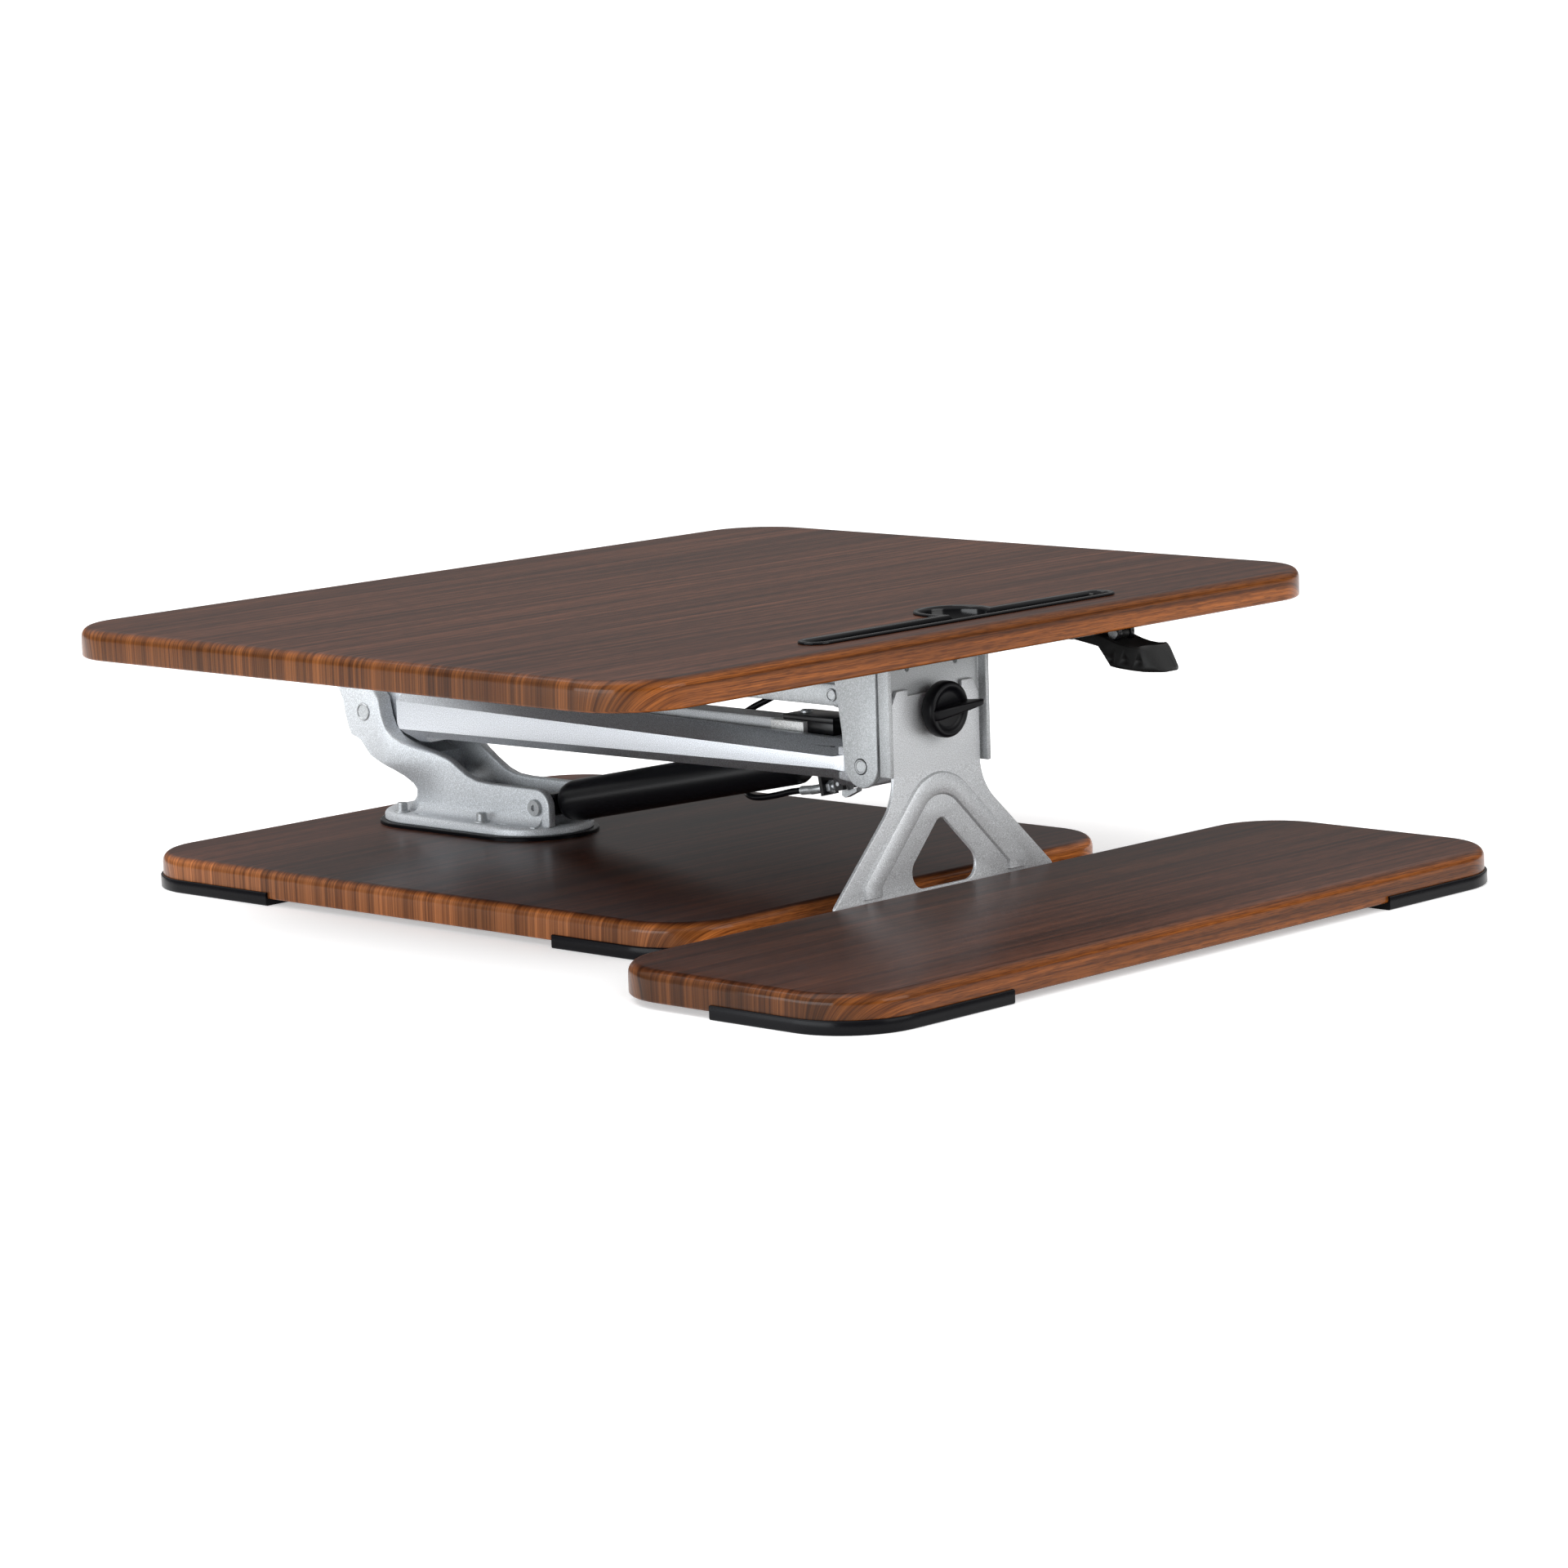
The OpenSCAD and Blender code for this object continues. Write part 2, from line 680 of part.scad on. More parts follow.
module clamp_washer() {
  color([0.03, 0.03, 0.03]) difference() {
    y_rod(0, clamp_z, 11, knob_y, knob_y + 1.4);
    y_rod(0, clamp_z, clamp_d / 2, knob_y - 1, knob_y + 2);
  }
}

module clamp_bolt() {
  color([0.8, 0.8, 0.82]) y_rod(0, clamp_z, clamp_d / 2, knob_y - 7, chan_web[1] + 14);
}

// ---- Keyboard tray -----------------------------------------------------------------------

module keyboard_tray() {
  color([0.34, 0.25, 0.22]) board(tray_w, tray_d, tray_y, low_z);
}

module tray_foot(sx) {
  corner_foot(tray_w, tray_d, tray_y, sx, -1, true);
}

// Neck and fork of the bracket from the front: straight neck, arcs, then straight flared legs
neck_half = 47;
arc_r = 42;
rib_t = 1.5;
rib_mid = 66.6;                           // height of the middle of the rib's round top
function arc_pts(n) = [for (i = [0:n]) let (a = fork_flare * i / n)
  [neck_half + arc_r * (1 - cos(a)), fork_bend - arc_r * sin(a)]];

module fork_outline() {
  right = concat([[29, 167], [29, 171.5], [41, 171.5], [neck_half, 161]], arc_pts(10),
    [[fork_half, low_top], [fork_half, 20], [fork_half - 8, low_z - plate_t]]);
  polygon(concat(right, [for (i = [len(right) - 1:-1:0]) [-right[i][0], right[i][1]]]));
}

// Side view of the plate, y0 behind its front face to y1 in front of it, down to height z
module plate_side(y0, y1, z) {
  lean = (fork_bend - z) * tan(fork_lean);
  front = plate_y - plate_t;
  polygon([[front + y0, 180], [front + y0, fork_bend], [front - lean + y0, z],
    [front - lean - y1, z], [front - y1, fork_bend], [front - y1, 180]]);
}

// The front outline given as a child, cut out of the plate's side view
module pressed(y0, y1, z) {
  intersection() {
    profile(-150, 150) plate_side(y0, y1, z);
    translate([0, -170, 0]) rotate([90, 0, 0]) linear_extrude(40) children();
  }
}

// Arch for the rib: everything within r of its middle, down two legs that end at x = foot_x
module arch(r, foot_x) {
  side = r * sin(45);
  translate([0, rib_mid]) {
    circle(r);
    polygon([[side, side], [foot_x, 2 * side - foot_x], [foot_x, -rib_mid], [-foot_x, -rib_mid],
      [-foot_x, 2 * side - foot_x], [-side, side], [0, 0]]);
  }
}

module fork_hole() {
  hull() {
    translate([0, 68]) circle(7);
    for (x = [-22.5, 22.5]) translate([x, 38.5]) circle(12);
  }
}

module tray_bracket() {
  slot_r = clamp_d / 2 + 0.4;
  color([0.72, 0.74, 0.76]) {
    pressed(plate_t, 0, low_z - plate_t) difference() {
      fork_outline();
      fork_hole();
      for (z = [clamp_z - clamp_slide, clamp_z]) translate([0, z]) circle(slot_r);
      translate([-slot_r, clamp_z - clamp_slide]) square([2 * slot_r, clamp_slide]);
    }
    pressed(0.5, rib_t, low_top + 1) difference() {
      arch(arc_r, 88);
      arch(25, 68);
    }
    // Flange under the tray
    translate([-108, -236, low_z - plate_t]) difference() {
      cube([216, 45.5, plate_t]);
      for (x = [18, 72, 144, 198]) translate([x, 22, -1]) cylinder(h = 6, r = 2.2);
    }
  }
}

module tray_screws() {
  color([0.75, 0.75, 0.77]) for (x = [-90, -36, 36, 90])
    translate([x, -214, low_z - plate_t]) {
      cylinder(h = 3, r = 2.2);
      translate([0, 0, -1.5]) cylinder(h = 1.5, r = 4.2);
    }
}

// ---- Gas spring --------------------------------------------------------------------------

tube_r = tube_d / 2;
tube_end = 264;
module strut_tube() {
  color([0.03, 0.03, 0.03]) on_strut() difference() {
    union() {
      translate([10, 0, 0]) rotate([0, 90, 0]) rotate_extrude() polygon([[0, 0], [9, 0],
        [13, 2], [15, 5], [tube_r, 10], [tube_r, tube_end - 10], [0, tube_end - 10]]);
      rotate([90, 0, 0]) cylinder(h = 22, r = 9, center = true);
      translate([0, -8, -8]) cube([14, 16, 16]);
    }
    rotate([90, 0, 0]) cylinder(h = 40, r = 4 + run, center = true);
    translate([24, 0, 0]) rotate([0, 90, 0]) cylinder(h = tube_end, r = tube_r - 2.5);
  }
}

module strut_gland() {
  color([0.2, 0.2, 0.2]) on_strut() difference() {
    translate([tube_end - 14, 0, 0]) rotate([0, 90, 0]) cylinder(h = 13, r = tube_r - 2.5);
    translate([tube_end - 20, 0, 0]) rotate([0, 90, 0]) cylinder(h = 40, r = rod_d / 2 + run);
  }
}

piston_x = 148;
module piston() {
  color([0.6, 0.6, 0.6]) on_strut() difference() {
    translate([piston_x, 0, 0]) rotate([0, 90, 0]) cylinder(h = 8, r = tube_r - 3);
    translate([piston_x - 1, 0, 0]) rotate([0, 90, 0]) cylinder(h = 10, r = rod_d / 2);
  }
}

module piston_rod() {
  color([0.85, 0.85, 0.87]) on_strut() translate([piston_x, 0, 0]) rotate([0, 90, 0])
    cylinder(h = 284 - piston_x, r = rod_d / 2);
}

// Head on the rod's end: an eye between the arm's two bolts, and a tongue for the adjuster
module release_head() {
  color([0.3, 0.3, 0.32]) on_strut() difference() {
    union() {
      translate([284, -head_half, -8]) cube([26, 2 * head_half, 16]);
      translate([strut_len, 0, 0]) rotate([90, 0, 0])
        cylinder(h = 2 * head_half, r = 8, center = true);
      translate([284, -8, -27]) cube([3, 16, 20]);
      for (y = [-head_half, 7]) translate([302, y, -25]) cube([8, 4, 20]);
    }
    translate([strut_len, 0, 0]) rotate([90, 0, 0]) cylinder(h = 40, r = 4.2, center = true);
    translate([280, 0, -21.5]) rotate([0, 90, 0]) cylinder(h = 10, r = 3);
    translate([306, 0, -20]) rotate([90, 0, 0]) cylinder(h = 40, r = 1.5 + run, center = true);
  }
}

module cable_adjuster() {
  color([0.75, 0.75, 0.77]) on_strut() {
    translate([268, 0, -21.5]) rotate([0, 90, 0]) cylinder(h = 12, r = 3.4);
    translate([280, 0, -21.5]) rotate([0, 90, 0]) cylinder(h = 13, r = 2.9);
    translate([287, 0, -21.5]) rotate([0, 90, 0]) cylinder(h = 3.5, r = 5, $fn = 6);
  }
}

module release_cable_lower() {
  color([0.03, 0.03, 0.03]) bar_along(cable_low, cable_d);
}

// Hook-shaped lever that the wire pulls, on its own pin in the head
module release_lever() {
  color([0.7, 0.7, 0.72]) on_strut() {
    rotate([90, 0, 0]) translate([0, 0, -3]) linear_extrude(6) {
      translate([306, -20]) circle(3.5);
      polygon([[303, -20], [300, -29], [303, -31], [315, -28], [316, -25], [307, -26],
        [309.5, -20]]);
    }
    translate([306, 0, -20]) rotate([90, 0, 0]) cylinder(h = 24, r = 1.5, center = true);
  }
}

// ---- Assembly ----------------------------------------------------------------------------

base_board();
base_foot(-1, -1);  // base_foot_left_front
base_foot(1, -1);  // base_foot_right_front
base_foot(-1, 1);  // base_foot_left_rear
base_foot(1, 1);  // base_foot_right_rear
post_gasket();
post_casting();
post_studs();
arm_rear_pin();
link_rear_pin();
strut_lower_bolt();
arm_casting();
arm_rear_bushes();
arm_front_bushes();
strut_upper_bolts();
cable_cover();
cable_clip_block();
cable_clip_plate();
cable_clip_screw();
release_cable_middle();
upper_link();
link_bushes();
worktop();
worktop_screws();
carriage_bracket();
arm_front_pin();
link_front_pin();
tray_channel();
channel_rivets();
clamp_nut();
tablet_slot();
handle_bracket();
handle_pin();
handle_screws();
release_cable_upper();
release_handle();
clamp_knob();
clamp_washer();
clamp_bolt();
keyboard_tray();
tray_bracket();
tray_screws();
tray_foot(-1);  // tray_foot_left
tray_foot(1);  // tray_foot_right
strut_tube();
strut_gland();
piston_rod();
piston();
release_head();
cable_adjuster();
release_cable_lower();
release_lever();
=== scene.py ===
import json
from math import atan2, cos, pi, radians, sin, sqrt

import bmesh
import bpy
from mathutils import Matrix, Vector


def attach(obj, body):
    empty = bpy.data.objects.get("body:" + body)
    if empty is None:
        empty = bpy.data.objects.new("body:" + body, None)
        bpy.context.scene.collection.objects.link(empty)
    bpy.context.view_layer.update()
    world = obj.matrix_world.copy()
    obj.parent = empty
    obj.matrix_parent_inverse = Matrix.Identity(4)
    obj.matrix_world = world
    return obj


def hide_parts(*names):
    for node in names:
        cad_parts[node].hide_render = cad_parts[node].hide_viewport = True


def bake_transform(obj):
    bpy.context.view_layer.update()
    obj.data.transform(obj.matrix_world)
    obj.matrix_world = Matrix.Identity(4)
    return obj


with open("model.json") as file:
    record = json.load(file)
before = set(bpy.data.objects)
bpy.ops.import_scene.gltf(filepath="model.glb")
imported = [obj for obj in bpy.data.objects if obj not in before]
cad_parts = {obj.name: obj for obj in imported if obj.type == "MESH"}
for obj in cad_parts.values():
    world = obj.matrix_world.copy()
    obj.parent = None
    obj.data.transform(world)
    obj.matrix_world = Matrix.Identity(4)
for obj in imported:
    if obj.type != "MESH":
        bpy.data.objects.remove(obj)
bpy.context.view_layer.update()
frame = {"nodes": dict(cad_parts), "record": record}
MM = 0.001

# Everything below is in millimetres, as in the CAD, until a mesh is made.
# Pivots in Y and Z: P is a rear pin and Q a front one, 1 on the arm and 2 on the upper link
P1, Q1 = (375, 115), (-152, 115)
P2, Q2 = (416, 162), (-111, 162)
# The gas spring's lower bolt in Y and Z, and its slope at rest
S1 = (206, 51)
TILT = radians(11.67)
# Each board's width, depth and centre in Y; all are BOARD_T thick
WORKTOP, BASE, TRAY = (750, 600, 48), (475, 590, 137), (720, 240, -312)
BOARD_T, CORNER_R = 22, 55
WORKTOP_Z, LOW_BOARD_Z = 200, 5
# Height of the tray's clamp, and the release handle's middle and pin
CLAMP_Z = 154.5
HANDLE_X, HANDLE_PIN = 156, (0, -230, 194.3)


# ---- Materials ---------------------------------------------------------------------------

def new_material(name, color=(0.5, 0.5, 0.5), rough=0.5, metal=0.0, ior=1.5):
    m = bpy.data.materials.new(name)
    m.use_nodes = True
    s = m.node_tree.nodes["Principled BSDF"]
    s.inputs["Base Color"].default_value = (*color, 1)
    s.inputs["Roughness"].default_value = rough
    s.inputs["Metallic"].default_value = metal
    s.inputs["IOR"].default_value = ior
    return m


def node(m, kind, **inputs):
    """A new shader node; an underscore in an input's name stands for a space."""
    n = m.node_tree.nodes.new(kind)
    for k, v in inputs.items():
        n.inputs[k.replace("_", " ")].default_value = v
    return n


def join(m, a, b):
    m.node_tree.links.new(a, b)


def ramp(m, source, stops):
    """A colour ramp of (position, colour) stops."""
    n = node(m, "ShaderNodeValToRGB")
    e = n.color_ramp.elements
    for i, (at, c) in enumerate(stops):
        el = e[i] if i < 2 else e.new(at)
        el.position = at
        el.color = (*c, 1)
    join(m, source, n.inputs["Fac"])
    return n.outputs["Color"]


def feed(m, socket, value):
    """Sets a socket to a number, or joins another node's output to it."""
    if isinstance(value, (int, float)):
        socket.default_value = value
    else:
        join(m, value, socket)


def maths(m, op, *values):
    n = m.node_tree.nodes.new("ShaderNodeMath")
    n.operation = op
    for i, v in enumerate(values):
        feed(m, n.inputs[i], v)
    return n.outputs[0]


def map_range(m, value, start, end):
    """From 0 at start to 1 at end, and clamped."""
    n = node(m, "ShaderNodeMapRange", From_Min=start, From_Max=end)
    join(m, value, n.inputs["Value"])
    return n.outputs[0]


def mixed(m, fac, a, b, blend="MIX"):
    n = m.node_tree.nodes.new("ShaderNodeMix")
    n.data_type, n.blend_type = "RGBA", blend
    feed(m, n.inputs["Factor"], fac)
    for sock, v in ((n.inputs[6], a), (n.inputs[7], b)):
        if isinstance(v, tuple):
            sock.default_value = (*v, 1)
        else:
            join(m, v, sock)
    return n.outputs[2]


def bump(m, height, strength):
    n = node(m, "ShaderNodeBump", Strength=strength, Distance=0.0002)
    join(m, height, n.inputs["Height"])
    join(m, n.outputs["Normal"], m.node_tree.nodes["Principled BSDF"].inputs["Normal"])


def walnut(name, dark, mid, light, top_z, seed):
    """Foil with the grain along X. It wraps over the edges, which are lighter and redder: partly
    the foil's own edge and partly painted light.
    """
    m = new_material(name, rough=0.3, ior=1.16)
    s = m.node_tree.nodes["Principled BSDF"]
    s.inputs["Coat Roughness"].default_value = 0.09
    tc = node(m, "ShaderNodeTexCoord")
    pos = node(m, "ShaderNodeSeparateXYZ")
    nrm = node(m, "ShaderNodeSeparateXYZ")
    join(m, tc.outputs["Object"], pos.inputs[0])
    join(m, tc.outputs["Normal"], nrm.inputs[0])
    x, y, z = pos.outputs
    # Across the grain the pattern follows Y, and runs on down the front and back edges
    down = maths(m, "MULTIPLY", maths(m, "SUBTRACT", top_z, z), 1.5)
    across = maths(m, "ADD", y, maths(m, "MULTIPLY", nrm.outputs[1], down))

    def grain(fine, along, detail, rough, distort):
        v = node(m, "ShaderNodeCombineXYZ")
        join(m, maths(m, "MULTIPLY", x, along), v.inputs[0])
        join(m, maths(m, "MULTIPLY", across, fine), v.inputs[1])
        v.inputs[2].default_value = seed
        n = node(m, "ShaderNodeTexNoise", Scale=1.0, Detail=detail, Roughness=rough,
                 Distortion=distort)
        join(m, v.outputs[0], n.inputs["Vector"])
        return n.outputs["Fac"]

    broad = grain(34, 1.3, 3, 0.55, 0.6)
    streak = grain(190, 2.6, 4, 0.65, 0.25)
    pores = grain(850, 70, 2, 0.5, 0.0)
    half = tuple((a + b) / 2 for a, b in zip(dark, mid))
    base = ramp(m, broad, [(0.32, dark), (0.68, mid), (0.5, half)])
    fine = ramp(m, streak, [(0.38, (0.5, 0.42, 0.38)), (0.64, (1.45, 1.25, 1.12))])
    top = mixed(m, 1.0, base, fine, "MULTIPLY")
    edge_base = ramp(m, broad, [(0.38, tuple(0.46 * c for c in light)), (0.60, light)])
    edge_fine = ramp(m, streak, [(0.38, (0.55, 0.46, 0.40)), (0.62, (1.25, 1.15, 1.06))])
    edge = mixed(m, 1.0, edge_base, edge_fine, "MULTIPLY")
    # Painted shade: the edges facing along X are darker and less red
    ends = mixed(m, 1.0, edge, (0.5, 0.56, 0.8), "MULTIPLY")
    end_shade_mask = map_range(m, maths(m, "ABSOLUTE", nrm.outputs[0]), 0.5, 0.95)
    edge = mixed(m, end_shade_mask, edge, ends)
    # From 0 on top to 1 down the edges; the edges' lighter, redder colour that it mixes in is
    # partly painted light
    side = map_range(m, maths(m, "ABSOLUTE", nrm.outputs[2]), 0.97, 0.6)
    join(m, maths(m, "MULTIPLY", side, 0.22), s.inputs["Coat Weight"])
    color = mixed(m, side, top, edge)
    dots = ramp(m, pores, [(0.38, (0.22, 0.18, 0.18)), (0.54, (1.1, 1.08, 1.06))])
    color = mixed(m, 0.5, color, dots, "MULTIPLY")
    join(m, color, s.inputs["Base Color"])
    bump(m, pores, 0.12)
    return m


def powder(name, color, metal, rough):
    """Silver powder coat with a fine sparkle."""
    m = new_material(name, color, rough, metal)
    s = m.node_tree.nodes["Principled BSDF"]
    tc = node(m, "ShaderNodeTexCoord")
    flake = node(m, "ShaderNodeTexNoise", Scale=1500.0, Detail=1.0, Roughness=0.5)
    join(m, tc.outputs["Object"], flake.inputs["Vector"])
    tone = ramp(m, flake.outputs["Fac"], [(0.40, tuple(c * 0.84 for c in color)),
                                          (0.70, tuple(min(1, c * 1.4) for c in color))])
    join(m, tone, s.inputs["Base Color"])
    vary = maths(m, "MULTIPLY", flake.outputs["Fac"], 0.25)
    join(m, maths(m, "ADD", vary, rough - 0.12), s.inputs["Roughness"])
    bump(m, flake.outputs["Fac"], 0.15)
    return m


def rubber(name, color, rough, ior):
    m = new_material(name, color, rough, ior=ior)
    tc = node(m, "ShaderNodeTexCoord")
    n = node(m, "ShaderNodeTexNoise", Scale=700.0, Detail=2.0)
    join(m, tc.outputs["Object"], n.inputs["Vector"])
    bump(m, n.outputs["Fac"], 0.15)
    return m


MAT = {
    # The three boards are one foil. Their edge colours differ as painted light, and the base's
    # is lightest to make up for the worktop's shadow over it
    "walnut_worktop": walnut("walnut_worktop", (0.042, 0.017, 0.010), (0.082, 0.035, 0.021),
                             (0.27, 0.088, 0.017), 0.222, 1.7),
    "walnut_base": walnut("walnut_base", (0.039, 0.015, 0.010), (0.086, 0.036, 0.023),
                          (0.50, 0.172, 0.043), 0.027, 6.1),
    "walnut_tray": walnut("walnut_tray", (0.038, 0.015, 0.009), (0.076, 0.031, 0.017),
                          (0.20, 0.064, 0.012), 0.027, 11.4),
    # One silver powder coat in lit and shaded copies: the arm's is lighter and the sheet parts'
    # darker, as painted light and shade
    "silver": powder("silver", (0.56, 0.575, 0.59), 0.5, 0.45),
    "silver_cast": powder("silver_cast", (0.54, 0.56, 0.58), 0.4, 0.5),
    "silver_arm": powder("silver_arm", (0.57, 0.59, 0.62), 0.95, 0.44),
    "silver_sheet": powder("silver_sheet", (0.43, 0.445, 0.455), 0.5, 0.46),
    "zinc": powder("zinc", (0.42, 0.435, 0.445), 0.7, 0.4),
    "chrome": new_material("chrome", (0.8, 0.8, 0.82), 0.12, 1.0),
    "bronze": new_material("bronze", (0.5, 0.36, 0.2), 0.4, 0.9),
    "black_metal": rubber("black_metal", (0.004, 0.004, 0.005), 0.3, 1.35),
    "black_rubber": rubber("black_rubber", (0.003, 0.003, 0.004), 0.24, 1.2),
    "black_gloss": new_material("black_gloss", (0.003, 0.003, 0.004), 0.14, ior=1.34),
    "black_matte": rubber("black_matte", (0.003, 0.003, 0.004), 0.34, 1.24),
    "black_satin": rubber("black_satin", (0.005, 0.005, 0.005), 0.5, 1.36),
    "aluminium": powder("aluminium", (0.60, 0.60, 0.59), 0.4, 0.5),
}


# ---- Mesh helpers ------------------------------------------------------------------------

def add(name, mesh, slot, body=None, replaces=(), angle=30, look=None):
    """A new piece, with the material of its look, or else of its slot, the body it rides on and
    the CAD nodes it replaces.
    """
    obj = bpy.data.objects.new(name, mesh)
    bpy.context.collection.objects.link(obj)
    mesh.materials.clear()
    mesh.materials.append(MAT[look or slot])
    smooth(mesh, angle)
    if replaces:
        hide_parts(*replaces)
    if body:
        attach(obj, body)
    return obj


def smooth(mesh, angle):
    for p in mesh.polygons:
        p.use_smooth = True
    mesh.set_sharp_from_angle(angle=radians(angle))


def mesh_of(name, bm):
    """The bmesh as a mesh, with its normals outwards; the bmesh is freed."""
    bmesh.ops.recalc_face_normals(bm, faces=bm.faces)
    me = bpy.data.meshes.new(name)
    bm.to_mesh(me)
    bm.free()
    return me


def temp(name, mesh):
    obj = bpy.data.objects.new(name, mesh)
    bpy.context.collection.objects.link(obj)
    return obj


def baked(obj):
    """The object's mesh with its modifiers applied; the object is removed."""
    me = bpy.data.meshes.new_from_object(
        obj.evaluated_get(bpy.context.evaluated_depsgraph_get()))
    bpy.data.objects.remove(obj)
    return me


def cut(mesh, cutter):
    """The mesh less the cutter."""
    a, b = temp("a", mesh), temp("b", cutter)
    mod = a.modifiers.new("b", "BOOLEAN")
    mod.operation, mod.object, mod.solver = "DIFFERENCE", b, "EXACT"
    out = baked(a)
    bpy.data.objects.remove(b)
    return out


def bevelled(mesh, width, segments=3, angle=35):
    """The mesh with its sharp edges rounded, width in millimetres."""
    a = temp("a", mesh)
    mod = a.modifiers.new("bevel", "BEVEL")
    mod.width, mod.segments = width * MM, segments
    mod.limit_method, mod.angle_limit = "ANGLE", radians(angle)
    mod.use_clamp_overlap = True
    return baked(a)


def merged(*meshes):
    bm = bmesh.new()
    for me in meshes:
        bm.from_mesh(me)
    return mesh_of("merged", bm)


AXES = {"x": lambda a, b, t: (t, a, b), "y": lambda a, b, t: (a, t, b),
        "z": lambda a, b, t: (a, b, t)}


def prism(outline, axis, t0, t1):
    """A 2D outline in millimetres, drawn out along an axis from t0 to t1."""
    place = AXES[axis]
    bm = bmesh.new()
    rings = [[bm.verts.new(Vector(place(a, b, t)) * MM) for a, b in outline] for t in (t0, t1)]
    for r in rings:
        bm.faces.new(r)
    n = len(outline)
    for i in range(n):
        j = (i + 1) % n
        bm.faces.new((rings[0][i], rings[0][j], rings[1][j], rings[1][i]))
    return mesh_of("prism", bm)


def block(x0, x1, y0, y1, z0, z1):
    return prism([(x0, y0), (x1, y0), (x1, y1), (x0, y1)], "z", z0, z1)


def arc(cx, cy, r, a0, a1, n=12):
    return [(cx + r * cos(radians(a0 + (a1 - a0) * i / n)),
             cy + r * sin(radians(a0 + (a1 - a0) * i / n))) for i in range(n + 1)]


def loft(rings):
    """A closed skin over rings of points, all the same length, in millimetres."""
    bm = bmesh.new()
    vs = [[bm.verts.new(Vector(p) * MM) for p in r] for r in rings]
    n = len(rings[0])
    for a, b in zip(vs, vs[1:]):
        for i in range(n):
            bm.faces.new((a[i], a[(i + 1) % n], b[(i + 1) % n], b[i]))
    bm.faces.new(vs[0][::-1])
    bm.faces.new(vs[-1])
    return mesh_of("loft", bm)


def lathe(profile, origin, direction, n=48):
    """A profile of (distance along, radius) turned about a line through origin."""
    rot = Vector((0, 0, 1)).rotation_difference(Vector(direction)).to_matrix()
    o = Vector(origin)
    rings = [[o + rot @ Vector((r * cos(2 * pi * i / n), r * sin(2 * pi * i / n), h))
              for i in range(n)] for h, r in profile]
    return loft(rings)


def rounded_rect(w, d, r, cy, n=16):
    pts = []
    for sx, sy, a in ((1, 1, 0), (-1, 1, 90), (-1, -1, 180), (1, -1, 270)):
        pts += arc(sx * (w / 2 - r), cy + sy * (d / 2 - r), r, a, a + 90, n)
    return pts


def bent(mesh, move):
    """Moves every vertex; move takes and returns x, y, z in millimetres."""
    for v in mesh.vertices:
        v.co = Vector(move(*(v.co / MM))) * MM
    return mesh


def sided(mesh, side):
    """The mesh as it is for side 1, or mirrored in X for side -1."""
    return bent(mesh, lambda x, y, z: (side * x, y, z))


def sliced(mesh, axis, cuts):
    """The mesh with extra edges where planes across an axis cut it."""
    bm = bmesh.new()
    bm.from_mesh(mesh)
    normal = Vector(AXES[axis](0, 0, 1))
    for c in cuts:
        bmesh.ops.bisect_plane(bm, geom=bm.verts[:] + bm.edges[:] + bm.faces[:],
                               plane_co=normal * c * MM, plane_no=normal)
    return mesh_of("sliced", bm)


def spline(points, steps=8):
    """Smooth curve through the points."""
    p = [Vector(q) for q in points]
    out = []
    for i in range(len(p) - 1):
        a, b, c, d = p[max(i - 1, 0)], p[i], p[i + 1], p[min(i + 2, len(p) - 1)]
        for k in range(steps):
            s = k / steps
            out.append(0.5 * (2 * b + (c - a) * s + (2 * a - 5 * b + 4 * c - d) * s * s
                              + (3 * b - a - 3 * c + d) * s ** 3))
    return out + [p[-1]]


def tube(points, r, n=16):
    """A round tube along a list of points, in millimetres."""
    path = [Vector(p) for p in points]
    rings, u = [], None
    for i, p in enumerate(path):
        t = (path[min(i + 1, len(path) - 1)] - path[max(i - 1, 0)]).normalized()
        u = (Vector((0.3, 0.5, 0.8)).cross(t) if u is None else u - t * u.dot(t)).normalized()
        v = t.cross(u)
        rings.append([p + r * (u * cos(2 * pi * k / n) + v * sin(2 * pi * k / n))
                      for k in range(n)])
    return loft(rings)


def smoothstep(a, b, v):
    t = max(0.0, min(1.0, (v - a) / (b - a)))
    return t * t * (3 - 2 * t)


# ---- Boards ------------------------------------------------------------------------------

def board(size, z0):
    """Rounded rectangle, with a large round-over on top and a small one below."""
    w, d, cy = size
    top, low = 7.5, 2.0
    rings = []
    for k in range(5):
        a = radians(90 - 22.5 * k)
        rings.append((low * (1 - cos(a)), z0 + low * (1 - sin(a))))
    for k in range(9):
        a = radians(11.25 * k)
        rings.append((top * (1 - cos(a)), z0 + BOARD_T - top * (1 - sin(a))))
    return loft([[(x, y, z) for x, y in rounded_rect(w - 2 * e, d - 2 * e, CORNER_R - e, cy)]
                 for e, z in rings])


def slot_outline(g, n=16):
    """Outline of the tablet slot's insert, moved out by g: a long slot with a round bulge."""
    r, cy, x0, x1 = 13 + g, -215, -155, 147
    px, py, pr = 17, -191, 30 + g
    h = sqrt(pr * pr - (cy + r - py) ** 2)
    a = atan2(cy + r - py, h) * 180 / pi
    return (arc(x1, cy, r, -90, 90, n) + arc(px, py, pr, a, 180 - a, 2 * n)
            + arc(x0, cy, r, 90, 270, n))


worktop = cut(board(WORKTOP, WORKTOP_Z), prism(slot_outline(-2.6), "z", 207.7, 240))
add("worktop_board", worktop, "walnut_worktop", "carriage", ["worktop"])
add("base_top", board(BASE, LOW_BOARD_Z), "walnut_base", "base", ["base_board"])
add("tray_board", board(TRAY, LOW_BOARD_Z), "walnut_tray", "tray", ["keyboard_tray"])

